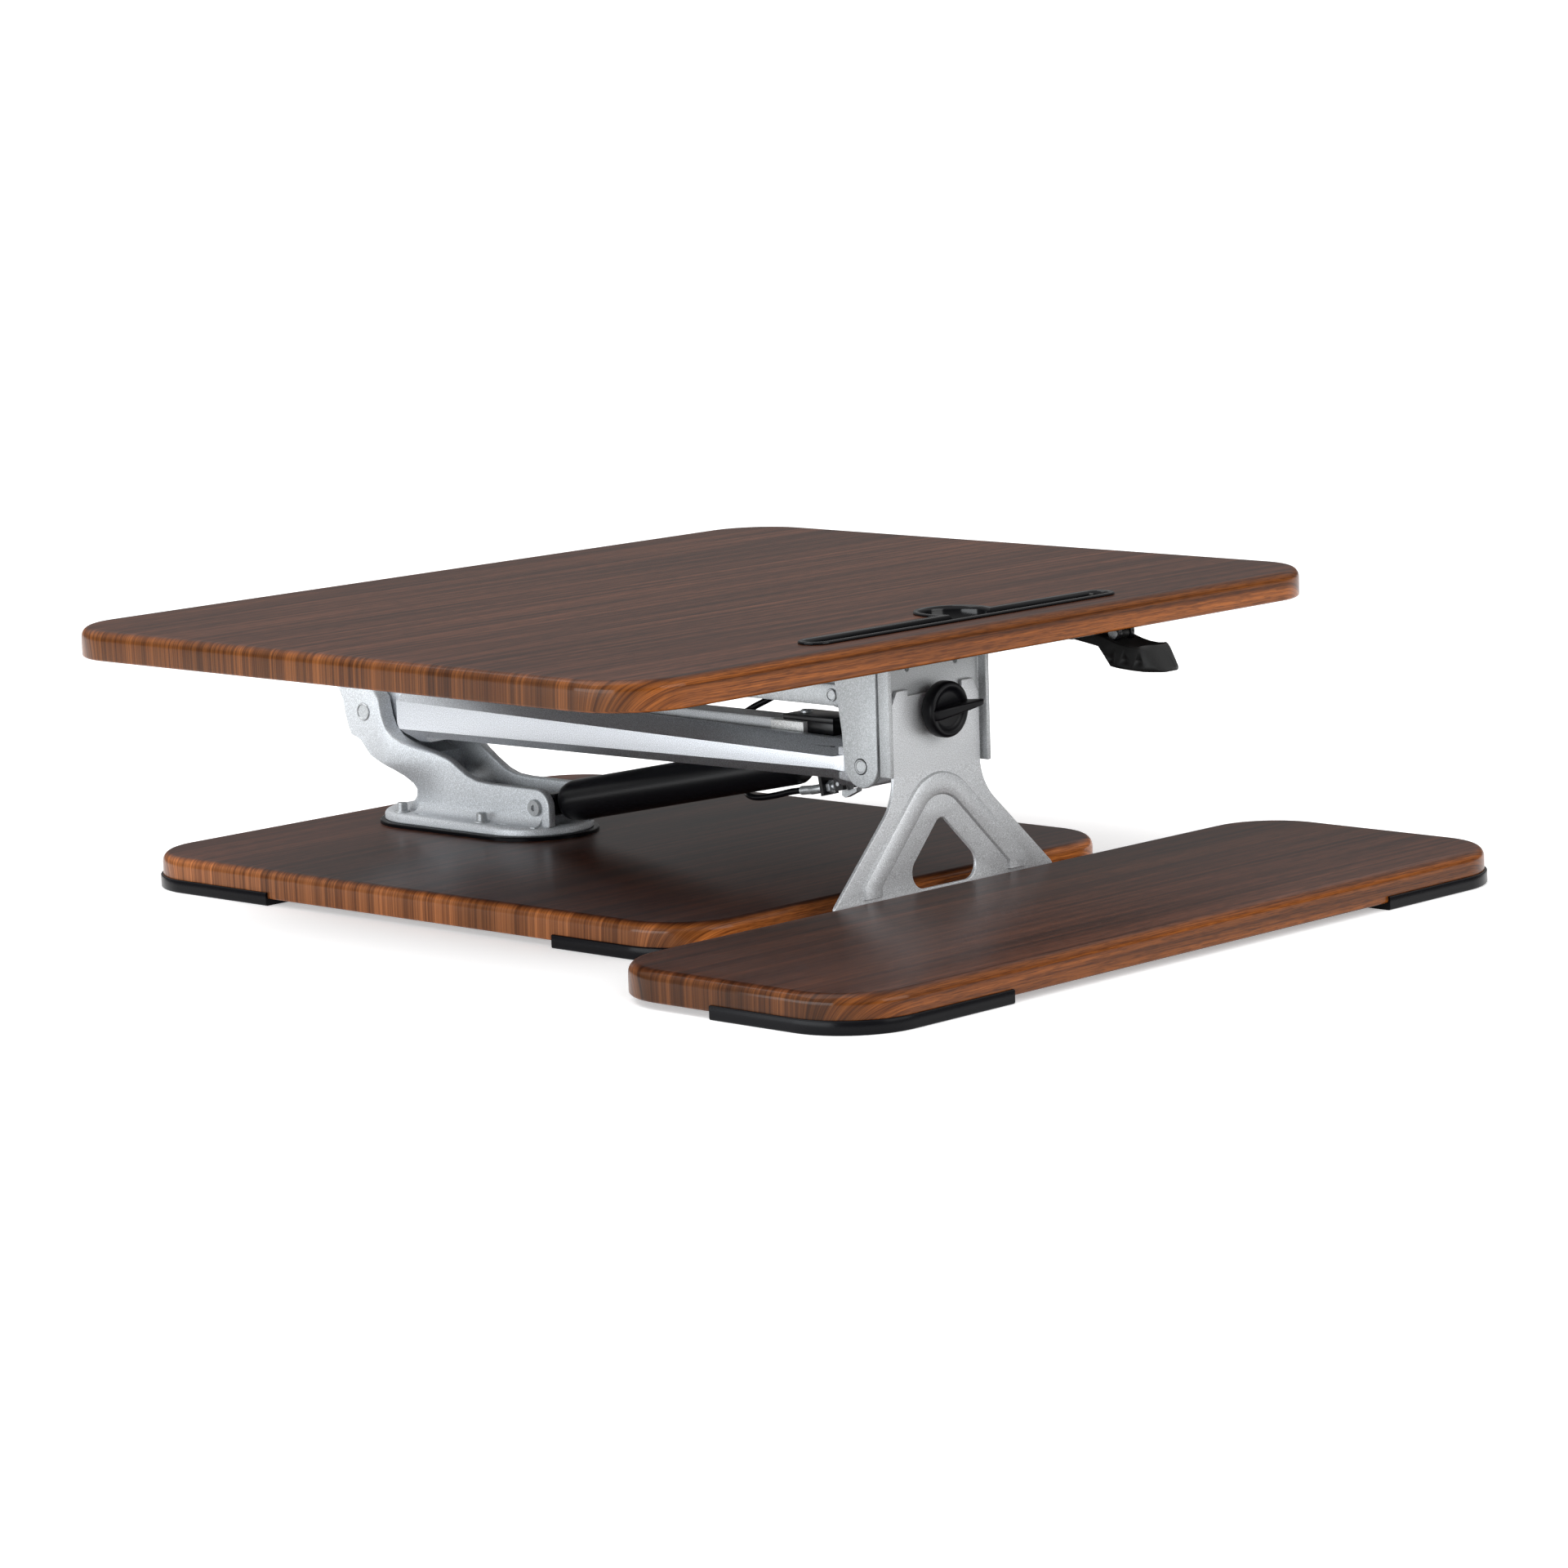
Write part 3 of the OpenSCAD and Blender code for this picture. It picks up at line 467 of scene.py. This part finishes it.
insert = loft([[(x, y, z) for x, y in slot_outline(g)] for g, z in
               [(-3, 208), (-3, 222), (-0.4, 222), (0, 222.4), (0, 223.2), (-0.6, 224),
                (-3.0, 224), (-3.8, 223.4), (-4.4, 221), (-4.8, 210.6), (-5.4, 210)]])
add("slot_insert", insert, "black_gloss", "carriage", ["tablet_slot"], angle=50)


# ---- Corner feet -------------------------------------------------------------------------

def corner_foot(name, size, sx, sy, leg_x, leg_y, body):
    """Strip round a corner: sole under the board, lip up its side, square ends."""
    w, d, cy = size
    hw, hd, r = w / 2, d / 2, CORNER_R
    path = [(hw + 2 - leg_x, hd, 0, 1)] + \
        [(hw - r + r * cos(radians(a)), hd - r + r * sin(radians(a)),
          cos(radians(a)), sin(radians(a))) for a in range(90, -1, -6)] + \
        [(hw, hd + 2 - leg_y, 1, 0)]
    section = [(-28, 0.6), (-27, 0), (0.8, 0), (1.6, 0.5), (2, 1.4), (2, 9.2), (1.6, 9.8),
               (1.0, 10), (0.1, 10), (0.1, 5), (-28, 5)]
    rings = [[(sx * (x + nx * o), cy + sy * (y + ny * o), z) for o, z in section]
             for x, y, nx, ny in path]
    add(name + "_rubber", loft(rings), "black_rubber", body, [name], angle=40)


# Lengths of a foot's two legs
LONG, SHORT = 156, 133
for side, sx in (("left", -1), ("right", 1)):
    corner_foot(f"base_foot_{side}_front", BASE, sx, -1, LONG, SHORT, "base")
    corner_foot(f"base_foot_{side}_rear", BASE, sx, 1, SHORT, LONG, "base")
    corner_foot(f"tray_foot_{side}", TRAY, sx, -1, LONG, SHORT, "tray")


# ---- Post casting ------------------------------------------------------------------------

FLANGE_Y, FLANGE_TOP = 285, 37
STUD_X, STUD_Y = 35, (256, 346)


def stadium(w, l, n=24):
    """Outline w wide and l long, with round ends, about the flange's middle."""
    r = w / 2
    return (arc(0, FLANGE_Y + l / 2 - r, r, 0, 180, n)
            + arc(0, FLANGE_Y - l / 2 + r, r, 180, 360, n))


gasket = loft([[(x, y, z) for x, y in stadium(100 - 2 * e, 202 - 2 * e)]
               for e, z in [(0, 27), (0, 29.2), (0.5, 29.8), (1.2, 30)]])
add("gasket", gasket, "black_rubber", "base", ["post_gasket"])

flange = loft([[(x, y, z) for x, y in stadium(92 - 2 * e, 194 - 2 * e)]
               for e, z in [(0.8, 30), (0, 30.8), (0, 34), (0.5, 35.4), (1.6, 36.5),
                            (3, FLANGE_TOP), (8, FLANGE_TOP)]])

# Side view of the plates
SIDE = ([(429, 158)] + arc(*P2, 14, -10, 165, 16) + [(399, 161), (364, 133), (358, 127),
        (355, 113), (351, 104), (345, 98), (338, 93.5), (328, 89.5), (313, 85), (302, 80.5),
        (292, 74.5), (283, 69.5), (272, 66), (258, 65), (206, 65)]
        + arc(*S1, 14, 90, 180, 10)[1:] + [(192, 36), (352, 36), (345, 43), (339, 49), (336, 55),
        (337, 60), (342, 66), (349, 71), (361, 76.5), (370, 80.7), (375, 86), (380, 91.5),
        (385, 94), (391, 95.4), (395, 104.5), (398, 115), (399, 122), (403, 130)])


def cheek_x(u, y, z):
    """From the lower plate to the joggled cheek; u is 0 inside and 1 outside."""
    s = smoothstep(296, 356, y) * smoothstep(44, 80, z)
    inner, outer = 17.5 + 13.5 * s, 25 + 20 * s
    return inner + (outer - inner) * u


PLATE_T = 10
post = flange
for side in (-1, 1):
    # Shallow dips in the flange's top
    for y in (235, 325):
        dip = lathe([(-0.8, 4), (-0.5, 5), (1, 6.5)], (0, 0, 0), (0, 0, 1), 24)
        post = cut(post, bent(dip, lambda x, v, z: (
            side * STUD_X + x * 0.6, y + v, FLANGE_TOP + z)))
    # The foot of the plate runs out onto the flange
    fillet = [(24, 36), (33, 36), (33, 37)] + arc(33, 45, 8, 270, 180, 8) + [(24, 45)]
    post = merged(post, sided(prism(fillet, "y", 200, 337), side))
    # The plate is drawn PLATE_T thick, and sliced where it bends
    plate = bevelled(prism(SIDE, "x", 0, PLATE_T), 1.6, 3, 40)
    plate = sliced(plate, "y", [296.3 + 4 * k for k in range(15)])
    plate = sliced(plate, "z", [44.6 + 3 * k for k in range(12)])
    plate = bent(plate, lambda x, y, z: (side * cheek_x(x / PLATE_T, y, z), y, z))
    post = merged(post, plate)
web = bevelled(block(-19, 19, 250, 338, 35, 56), 3)
back = bevelled(prism([(338, 60), (347, 74.5), (362, 78), (371, 82.5), (379, 92.5), (386, 95),
                       (377, 95), (369, 87), (361, 82.5), (345, 79), (334, 64)],
                      "x", -31.5, 31.5), 0.8, 2, 50)
post = merged(post, web, back)
add("post", post, "silver", "base", ["post_casting"], angle=35, look="silver_cast")
studs = []
for x in (-STUD_X, STUD_X):
    for y in STUD_Y:
        studs.append(lathe([(2.5, 9), (5, 9), (5, 4.2), (43.4, 4.2), (44.4, 3.2), (44.4, 1)],
                           (x, y, 0), (0, 0, 1), 24))
        studs.append(lathe([(36.9, 6.2), (37.6, 6.2), (38, 5.8)], (x, y, 0), (0, 0, 1), 24))
add("studs", merged(*studs), "zinc", "base", ["post_studs"])


def pin(name, p, r, half, head, t, body, node_name):
    """A pin of radius r, half its length each way, with a ring-shaped head t thick."""
    parts = [lathe([(-half, r), (half, r)], (0, *p), (1, 0, 0), 32)]
    for s in (-1, 1):
        parts.append(lathe([(0, head), (t * 0.6, head), (t, head - 0.5), (t, head - 1.1),
                            (t * 0.45, head - 1.6), (t * 0.45, 1)], (s * half, *p),
                           (s, 0, 0), 40))
    add(name, merged(*parts), "zinc", body, [node_name])


pin("rear_pin", P1, 6, 45, 7, 1.2, "base", "arm_rear_pin")
pin("rear_link_pin", P2, 4, 45, 5.5, 1.2, "base", "link_rear_pin")
pin("front_pin", Q1, 5, 45, 5.4, 0.8, "carriage", "arm_front_pin")
pin("front_link_pin", Q2, 4, 29.5, 4.8, 1.2, "carriage", "link_front_pin")
# Painted shadow: a thin black ring on each cheek stands for the shade in the gap around the
# front pin's ends
gap_shadows = [lathe([(0, 6.1), (0.15, 6.1)], (side * 45, *Q1), (side, 0, 0)) for side in (-1, 1)]
add("pin_gap_shadows", merged(*gap_shadows), "black_metal", "carriage")

bolt = lathe([(-28, 6.1), (-27.4, 6.5), (-25, 6.5), (-25, 4), (33, 4)],
             (0, *S1), (1, 0, 0), 32)
nut = lathe([(25, 7.5), (31, 7.5), (31.5, 6.6)], (0, *S1), (1, 0, 0), 6)
hexagon = lathe([(-29, 2.6), (-26, 2.6)], (0, *S1), (1, 0, 0), 6)
add("lower_bolt", cut(bolt, hexagon), "zinc", "base", ["strut_lower_bolt"])
add("lower_nut", nut, "zinc", "base")


# ---- Arm ---------------------------------------------------------------------------------

def arm_section(y, facet, up, down):
    """Eight-sided section: a flat facet each side, 2 * facet high, and sloping ones."""
    return [(x, y, P1[1] + z) for x, z in
            ((42, facet), (28, up), (-28, up), (-42, facet), (-42, -facet), (-30, -down),
             (30, -down), (42, -facet))]


def nose_section(y, half, flat, up, down):
    """The arm's front end, narrower than the rest."""
    return [(x, y, P1[1] + z) for x, z in
            ((half, flat), (half * 0.68, up), (-half * 0.68, up), (-half, flat),
             (-half, -flat), (-half * 0.72, -down), (half * 0.72, -down), (half, -flat))]


arm = loft([arm_section(340, 11, 22, 21.5), arm_section(-121, 4.5, 15.5, 18.2),
            nose_section(-131, 39.6, 6, 15.2, 17)])
# Clearance for the post's back wall
arm = cut(arm, prism([(350, 80), (350, 113), (341, 110), (336, 101), (326, 92), (318, 80)],
                     "x", -60, 60))
arm = bevelled(arm, 2.2, 3, 20)
rear = prism(arc(*P1, 19, -90, 90, 20) + [(356, 134), (334, 134), (334, 100), (356, 99)],
             "x", -29.5, 29.5)
front = prism(arc(*Q1, 15.5, 90, 270, 20) + [(-125, 103), (-125, 127)], "x", -39.7, 39.7)
# The hollow that the gas spring swings in
arm = cut(arm, block(-35, 35, -118, 316, 80, 125.5))
# A groove along the top, open above, and a hole in it for the cable
arm = cut(arm, prism([(-24, 132), (24, 132), (20, 129), (-20, 129)], "y", -109, 328))
arm = cut(arm, prism([(-24, 131.9), (24, 131.9), (24, 160), (-24, 160)], "y", -109, 328))
arm = cut(arm, block(11, 27, 14, 48, 124, 131))
ribs = merged(*[block(-34.9, 34.9, y - 1.6, y + 1.6, 116, 125.6) for y in (60, 200, 300)])
arm = merged(arm, bevelled(rear, 1.2, 2, 50), bevelled(front, 1.2, 2, 50), ribs)
add("arm", arm, "silver", "arm", ["arm_casting"], angle=32, look="silver_arm")

cover = prism([(-12, 129), (-12, 136.2), (-11.2, 137.5), (11.2, 137.5), (12, 136.2), (12, 129),
               (10.5, 129), (10.5, 136), (-10.5, 136), (-10.5, 129)], "y", -36, 300)
add("cover", cover, "silver", "arm", ["cable_cover"], angle=50)


# ---- Upper link --------------------------------------------------------------------------

link = []
for side in (-1, 1):
    cheek = prism(arc(*P2, 9, -62, 62, 12) + arc(*Q2, 9, 118, 242, 12), "x", 25, 29)
    link.append(bevelled(sided(cheek, side), 0.8, 2, 50))
link.append(bevelled(block(-26, 26, -87, 392, 166, 170), 0.8, 2))
add("link", merged(*link), "silver", "link", ["upper_link"], look="silver_sheet")


# ---- Carriage ----------------------------------------------------------------------------

CHEEK = (arc(*Q1, 16, 180, 354, 24) + [(-134.8, 125), (-133.5, 140), (-128, 175), (-124, 197),
                                       (-169, 197)])
parts = []
for side in (-1, 1):
    parts.append(sided(bevelled(prism(CHEEK, "x", 40.5, 45), 1.2, 3, 40), side))
    parts.append(bevelled(sided(block(38, 40.6, -179, -149, 136, 197), side), 0.6, 2))
parts.append(bevelled(block(-72, 72, -176, 46, 196, 200), 0.8, 2))
parts.append(bevelled(prism(arc(*Q2, 10, 180, 360, 20) + [(-101, 197), (-121, 197)],
                            "x", -24, 24), 1.2, 2, 50))
parts.append(bevelled(block(-38, 38, -179, -175, 136, 199), 0.6, 2))
add("carriage", merged(*parts), "silver", "carriage", ["carriage_bracket"], look="silver_sheet")

channel = [(-54.5, -189.5), (-50.5, -189.5), (-50.5, -182), (50.5, -182), (50.5, -189.5),
           (54.5, -189.5), (54.5, -179), (-54.5, -179)]
add("channel", bevelled(prism(channel, "z", 110.5, 200), 0.9, 3, 40), "silver", "carriage",
    ["tray_channel"], look="silver_sheet")


# ---- Tray bracket ------------------------------------------------------------------------

NECK_Z = 112


def lean(x, y, z):
    """The plate leans forward by 3.5 degrees below the neck, with a soft bend."""
    bend = max(0, 4 - abs(NECK_Z - z)) * 0.015
    return x, y - max(0.0, NECK_Z - z) * 0.0612 - bend, z


def mirrored(right):
    return right + [(-x, z) for x, z in reversed(right)]


FORK = mirrored([(29, 167), (29, 171.5), (41, 171.5), (47, 161)]
                + [(89 - 42 * cos(radians(a)), NECK_Z - 42 * sin(radians(a)))
                   for a in range(0, 47, 4)]
                + [(116.5, 27.5), (118, 25.5), (118, 20), (110, 3)])
HOLE = (arc(0, 68, 7, 40, 140, 10) + arc(-22.5, 38.5, 12, 140, 270, 10)
        + arc(22.5, 38.5, 12, -90, 40, 10))


ARCH_Z, RIB_LOW_Z = 66.6, 28


def arch(r, foot):
    """A round crown of radius r, 45-degree legs, and upright feet at foot from the middle."""
    knee = ARCH_Z + 2 * r * sin(radians(45)) - foot
    return ([(foot, RIB_LOW_Z), (foot, knee)] + arc(0, ARCH_Z, r, 45, 135, 16)
            + [(-foot, knee), (-foot, RIB_LOW_Z)])


plate = prism(FORK, "y", -185.3, -182.3)
plate = cut(plate, prism(HOLE, "y", -190, -180))
slot = arc(0, CLAMP_Z, 4.4, 0, 180, 10) + arc(0, CLAMP_Z - 14, 4.4, 180, 360, 10)
plate = cut(plate, prism(slot, "y", -190, -180))
bends = [NECK_Z - 3.8 + 2 * k for k in range(5)]
plate = bent(sliced(bevelled(plate, 0.7, 3, 40), "z", bends), lean)


def soft_arch(r_out, foot_out, r_in, foot_in):
    """Pressed rib: an arch with sloping walls and a flat face."""
    # How far each step stands in from the rib's outline, and its Y
    steps = [(0, -185.2), (0.4, -185.5), (1.1, -186.8), (1.8, -187.3)]
    bm = bmesh.new()
    outer = [[bm.verts.new(Vector((x, y, z)) * MM) for x, z in arch(r_out - e, foot_out - e)]
             for e, y in steps]
    inner = [[bm.verts.new(Vector((x, y, z)) * MM) for x, z in arch(r_in + e, foot_in + e)]
             for e, y in steps]
    n = len(outer[0])
    for rows in (outer, inner):
        for a, b in zip(rows, rows[1:]):
            for i in range(n - 1):
                bm.faces.new((a[i], a[i + 1], b[i + 1], b[i]))
    for i in range(n - 1):
        bm.faces.new((outer[-1][i], outer[-1][i + 1], inner[-1][i + 1], inner[-1][i]))
        bm.faces.new((outer[0][i], outer[0][i + 1], inner[0][i + 1], inner[0][i]))
    for i in (0, n - 1):
        bm.faces.new([o[i] for o in outer] + [o[i] for o in reversed(inner)])
    return mesh_of("arch", bm)


rib = bent(soft_arch(42, 88, 25, 68), lean)
foot = bevelled(block(-108, 108, -236, -190.5, 2, 5), 0.6, 2)
add("bracket", merged(plate, rib, foot), "silver", "tray", ["tray_bracket"], angle=40)


# ---- Clamp knob --------------------------------------------------------------------------

disc = lathe([(0, 15), (0, 17), (1.5, 18.5), (3.5, 20), (4.5, 20.5), (10.5, 20.5), (12, 20),
              (12.8, 19), (13, 18), (12.9, 16.5), (11.8, 15), (10.6, 13.6), (10.4, 12),
              (10.4, 2)], (0, -187, CLAMP_Z), (0, -1, 0), 64)
wing = prism([(-19, 0), (-18.4, 4.5), (-15, 7.2), (-4, 10), (12, 14.5), (21, 16), (23.6, 15.6),
              (24.8, 14.2), (25, 12.6), (19, 0)], "z", -3.4, 3.4)


def wing_shape(x, y, z):
    """Thinner towards the tip, then turned about the axle and set on the disc's face."""
    z *= 1.2 - 0.6 * smoothstep(-14, 25, x)
    a = radians(9)
    return x * cos(a) - z * sin(a), -196 - y, CLAMP_Z + x * sin(a) + z * cos(a)


wing = bent(bevelled(wing, 1.5, 3, 35), wing_shape)
add("knob", merged(disc, wing), "black_matte", "knob", ["clamp_knob"], angle=40)


# ---- Release handle ----------------------------------------------------------------------

# Stations along the paddle: y, half width, height of its sole, height of its top edge
GRIP = [(-197, 16, 188.2, 193), (-209, 16, 186.4, 193.3), (-220, 16, 184.6, 193.5),
        (-226, 16, 177.5, 192.6), (-231.5, 16, 170.6, 190.6), (-238, 16, 169.7, 188.6),
        (-245, 16, 169.2, 187.2), (-253, 16, 168.8, 186.6)]
# The nose is nearly half a circle in plan
GRIP += [(-262 - 17.5 * sin(radians(a)), 16 * cos(radians(a)) ** 0.8,
          168.4 + 4 * (a / 87) ** 6, 187 + 1.1 * sin(radians(1.6 * a)))
         for a in (*range(0, 80, 10), 84, 87)]


def grip_ring(y, half, low, high):
    """Section across the paddle: round lower corners, thin rims and a hollow top."""
    nose = smoothstep(-255, -276, y)
    r = min(2.2 + 3.8 * nose, half * 0.4)
    dish = 4.5 * smoothstep(-226, -250, y) * smoothstep(-279, -268, y)
    corner = [(half - r + r * cos(radians(a)), low + r + r * sin(radians(a)))
              for a in range(-90, 1, 15)]
    rim = [(half, high - 1.2 - 3 * nose), (half - 0.15 * r, high - 0.4 - nose),
           (half - 0.4 * r, high)]
    right = corner + rim + [(half * 0.8, high - dish * 0.5), (half * 0.4, high - dish * 0.9)]
    # Towards the nose the upper rim stands back from the lower one
    back = 11 * smoothstep(-250, -279, y)
    return [(HANDLE_X + x, y + back * (z - low) / (high - low), z) for x, z in
            right + [(0, high - dish)] + [(-x, z) for x, z in reversed(right)]]


grip = loft([grip_ring(*g) for g in GRIP])
# Three finger dents in its side
for k in range(3):
    dent = lathe([(-4.2, 0.5), (-3.6, 4.2), (-2, 6.6), (0, 7.6), (2, 6.6), (3.6, 4.2),
                  (4.2, 0.5)], (0, 0, 0), (1, 0, 0), 24)
    dent = bent(dent, lambda x, y, z: (136.6 + x, -233 - 13 * k + y * 0.7, 176.5 + z * 0.6))
    grip = cut(grip, dent)
# Room for the bracket's lugs, and the knuckle between them
for x in (HANDLE_X - 11.4, HANDLE_X + 4.6):
    slot = lathe([(x, 6), (x + 6.8, 6)], HANDLE_PIN, (1, 0, 0))
    grip = cut(grip, slot)
barrel = lathe([(151.4, 4.2), (151.8, 4.5), (160.2, 4.5), (160.6, 4.2)], HANDLE_PIN, (1, 0, 0))
add("handle", merged(grip, barrel), "black_gloss", "handle", ["release_handle"], angle=55,
    look="black_satin")


# ---- Gas spring --------------------------------------------------------------------------

ALONG = Vector((0, -cos(TILT), sin(TILT)))


def on_strut(x, side=0, up=0):
    """A point x along the gas spring from its lower bolt."""
    return Vector((side, S1[0], S1[1])) + ALONG * x + Vector((0, sin(TILT), cos(TILT))) * up


body = lathe([(8, 7), (10, 9), (11, 12), (13, 13.6), (16, 14.8), (20, 15.7), (24, 16),
              (256, 16), (260, 15.7), (262.5, 14.6), (264, 12.6), (264, 5.2), (261, 5.2)],
             on_strut(0), ALONG, 64)
eye = lathe([(-11, 8), (-10.5, 9), (10.5, 9), (11, 8)], (0, *S1), (1, 0, 0), 40)
neck = bent(bevelled(block(0, 14, -8, 8, -8, 8), 1, 2),
            lambda x, y, z: tuple(on_strut(x, y, z)))
add("gas_spring", merged(body, eye, neck), "black_metal", "strut_cylinder", ["strut_tube"],
    angle=40)


# ---- Cable clip, ferrule and cable -------------------------------------------------------

clip = bevelled(block(-19, 19, -72, -39, 129, 138), 1.0, 2)
add("clip_block", clip, "aluminium", "arm", ["cable_clip_block"])
top = bevelled(block(-15, 15, -98, -48, 138, 142), 0.8, 2)
drop = bevelled(block(-15, 15, -98, -72.2, 129, 138.4), 0.8, 2)
add("clip_plate", merged(top, drop), "black_metal", "arm", ["cable_clip_plate"])
screw = lathe([(129.5, 2.5), (142, 2.5), (142, 4.5), (143.3, 4.4), (144, 3.6), (144, 2.2),
               (142.6, 2)], (0, -58, 0), (0, 0, 1), 32)
add("clip_screw", screw, "zinc", "arm", ["cable_clip_screw"])

# The release cable's route, as in the CAD
LOW = [(0, -60.5, 84.3), (0, -42, 81.5), (0, -24, 77), (2, -6, 73.5), (6, 8, 73), (14.5, 20, 75),
       (21, 27, 84.5), (24, 31, 96), (24, 34, 107), (22, 37, 117)]
HIGH = [(22, 37, 117), (20, 33, 124.5), (19, 25, 131.5), (20, 15, 137.5), (24, 6, 142.5),
        (29, -1, 147), (34, -7, 151), (40, -14, 158), (47, -24, 168), (55, -36, 178),
        (64, -50, 186), (76, -68, 191.5), (92, -90, 193.5), (112, -116, 194), (132, -142, 194),
        (147, -162, 194), (155, -176, 194), (156, -186, 194)]
# The lower run reaches a little way inside the upper one, to bridge the arm's swing over it
add("cable_low", tube(spline(LOW + HIGH[1:4]), 2.4), "black_matte", "strut_rod",
    ["release_cable_lower"])
high = add("cable_high", tube(spline(HIGH), 2.5), "black_matte", None,
           ["release_cable_middle", "release_cable_upper"])
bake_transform(high)
ferrule = tube([LOW[0], (0, -56, 83.7), (0, -51, 83)], 3.3, 24)
add("cable_ferrule", ferrule, "zinc", "strut_rod")


# ---- CAD nodes that stay -----------------------------------------------------------------

slots = {s["node"]: s["material_slot"] for s in frame["record"]["subparts"]}
for name, obj in frame["nodes"].items():
    obj.data.materials.clear()
    obj.data.materials.append(MAT[slots[name]])
    weld = obj.modifiers.new("weld", "WELD")
    weld.merge_threshold = 0.01 * MM
    bev = obj.modifiers.new("bevel", "BEVEL")
    bev.width, bev.segments = 0.4 * MM, 2
    bev.limit_method, bev.angle_limit = "ANGLE", radians(40)


# ---- Camera, lights and floor ------------------------------------------------------------

CAMERA_AT = (-2.9585, -2.8384, 0.7291)


def camera():
    """A long lens from the photograph's direction, in metres and degrees."""
    yaw, pitch, roll = radians(46.52), radians(-8.96), radians(-1.84)
    f = Vector((sin(yaw) * cos(pitch), cos(yaw) * cos(pitch), sin(pitch)))
    r = Vector((cos(yaw), -sin(yaw), 0))
    u = r.cross(f)
    r, u = cos(roll) * r + sin(roll) * u, -sin(roll) * r + cos(roll) * u
    cam = bpy.data.cameras.new("camera")
    cam.lens, cam.sensor_width = 128.25, 36
    obj = bpy.data.objects.new("camera", cam)
    bpy.context.collection.objects.link(obj)
    obj.matrix_world = Matrix.Translation(CAMERA_AT) @ \
        Matrix((r, u, -f)).transposed().to_4x4()
    bpy.context.scene.camera = obj


def area(name, at, target, size, power, color=(1, 1, 1)):
    """A soft light at a place in metres, aimed at target, with its power in watts."""
    light = bpy.data.lights.new(name, "AREA")
    light.shape, light.size, light.size_y = "RECTANGLE", size[0], size[1]
    light.energy, light.color = power, color
    obj = bpy.data.objects.new(name, light)
    bpy.context.collection.objects.link(obj)
    obj.location = at
    obj.rotation_euler = (Vector(target) - Vector(at)).to_track_quat("-Z", "Y").to_euler()


camera()
area("top", (-0.6, 0.6, 2.6), (0, 0, 0.1), (2.4, 2.4), 45)
area("left", (-2.8, 0.3, 0.5), (0, 0.1, 0.12), (3.0, 0.9), 52, (0.93, 0.97, 1.0))
area("front", (0.6, -2.8, 1.1), (0, 0, 0.15), (2.0, 1.2), 23)

# A white sky that is dimmer near the horizon, so that the boards' tops stay dark at a low angle
world = bpy.data.worlds.new("world")
bpy.context.scene.world = world
world.use_nodes = True
ray = node(world, "ShaderNodeTexCoord")
height = node(world, "ShaderNodeSeparateXYZ")
shade = node(world, "ShaderNodeMapRange", From_Min=0.22, From_Max=0.5, To_Min=0.22, To_Max=1.0)
background = world.node_tree.nodes["Background"]
background.inputs["Color"].default_value = (1, 1, 1, 1)
join(world, ray.outputs["Generated"], height.inputs[0])
join(world, height.outputs[2], shade.inputs["Value"])
join(world, shade.outputs[0], background.inputs["Strength"])

# Half the floor's width, in metres
FLOOR = 60
floor_mesh = bpy.data.meshes.new("floor")
floor_mesh.from_pydata([(-FLOOR, -FLOOR, 0), (FLOOR, -FLOOR, 0), (FLOOR, FLOOR, 0),
                        (-FLOOR, FLOOR, 0)], [], [(0, 1, 2, 3)])
floor = bpy.data.objects.new("floor", floor_mesh)
bpy.context.collection.objects.link(floor)
pale = new_material("floor", (0.9, 0.9, 0.9), 0.95)
pale_shader = pale.node_tree.nodes["Principled BSDF"]
pale_shader.inputs["Emission Color"].default_value = (1, 1, 1, 1)
pale_shader.inputs["Emission Strength"].default_value = 0.38
floor_mesh.materials.append(pale)

scene = bpy.context.scene
scene.view_settings.view_transform = "Standard"
scene.view_settings.look = "None"
scene.view_settings.exposure = 0.0
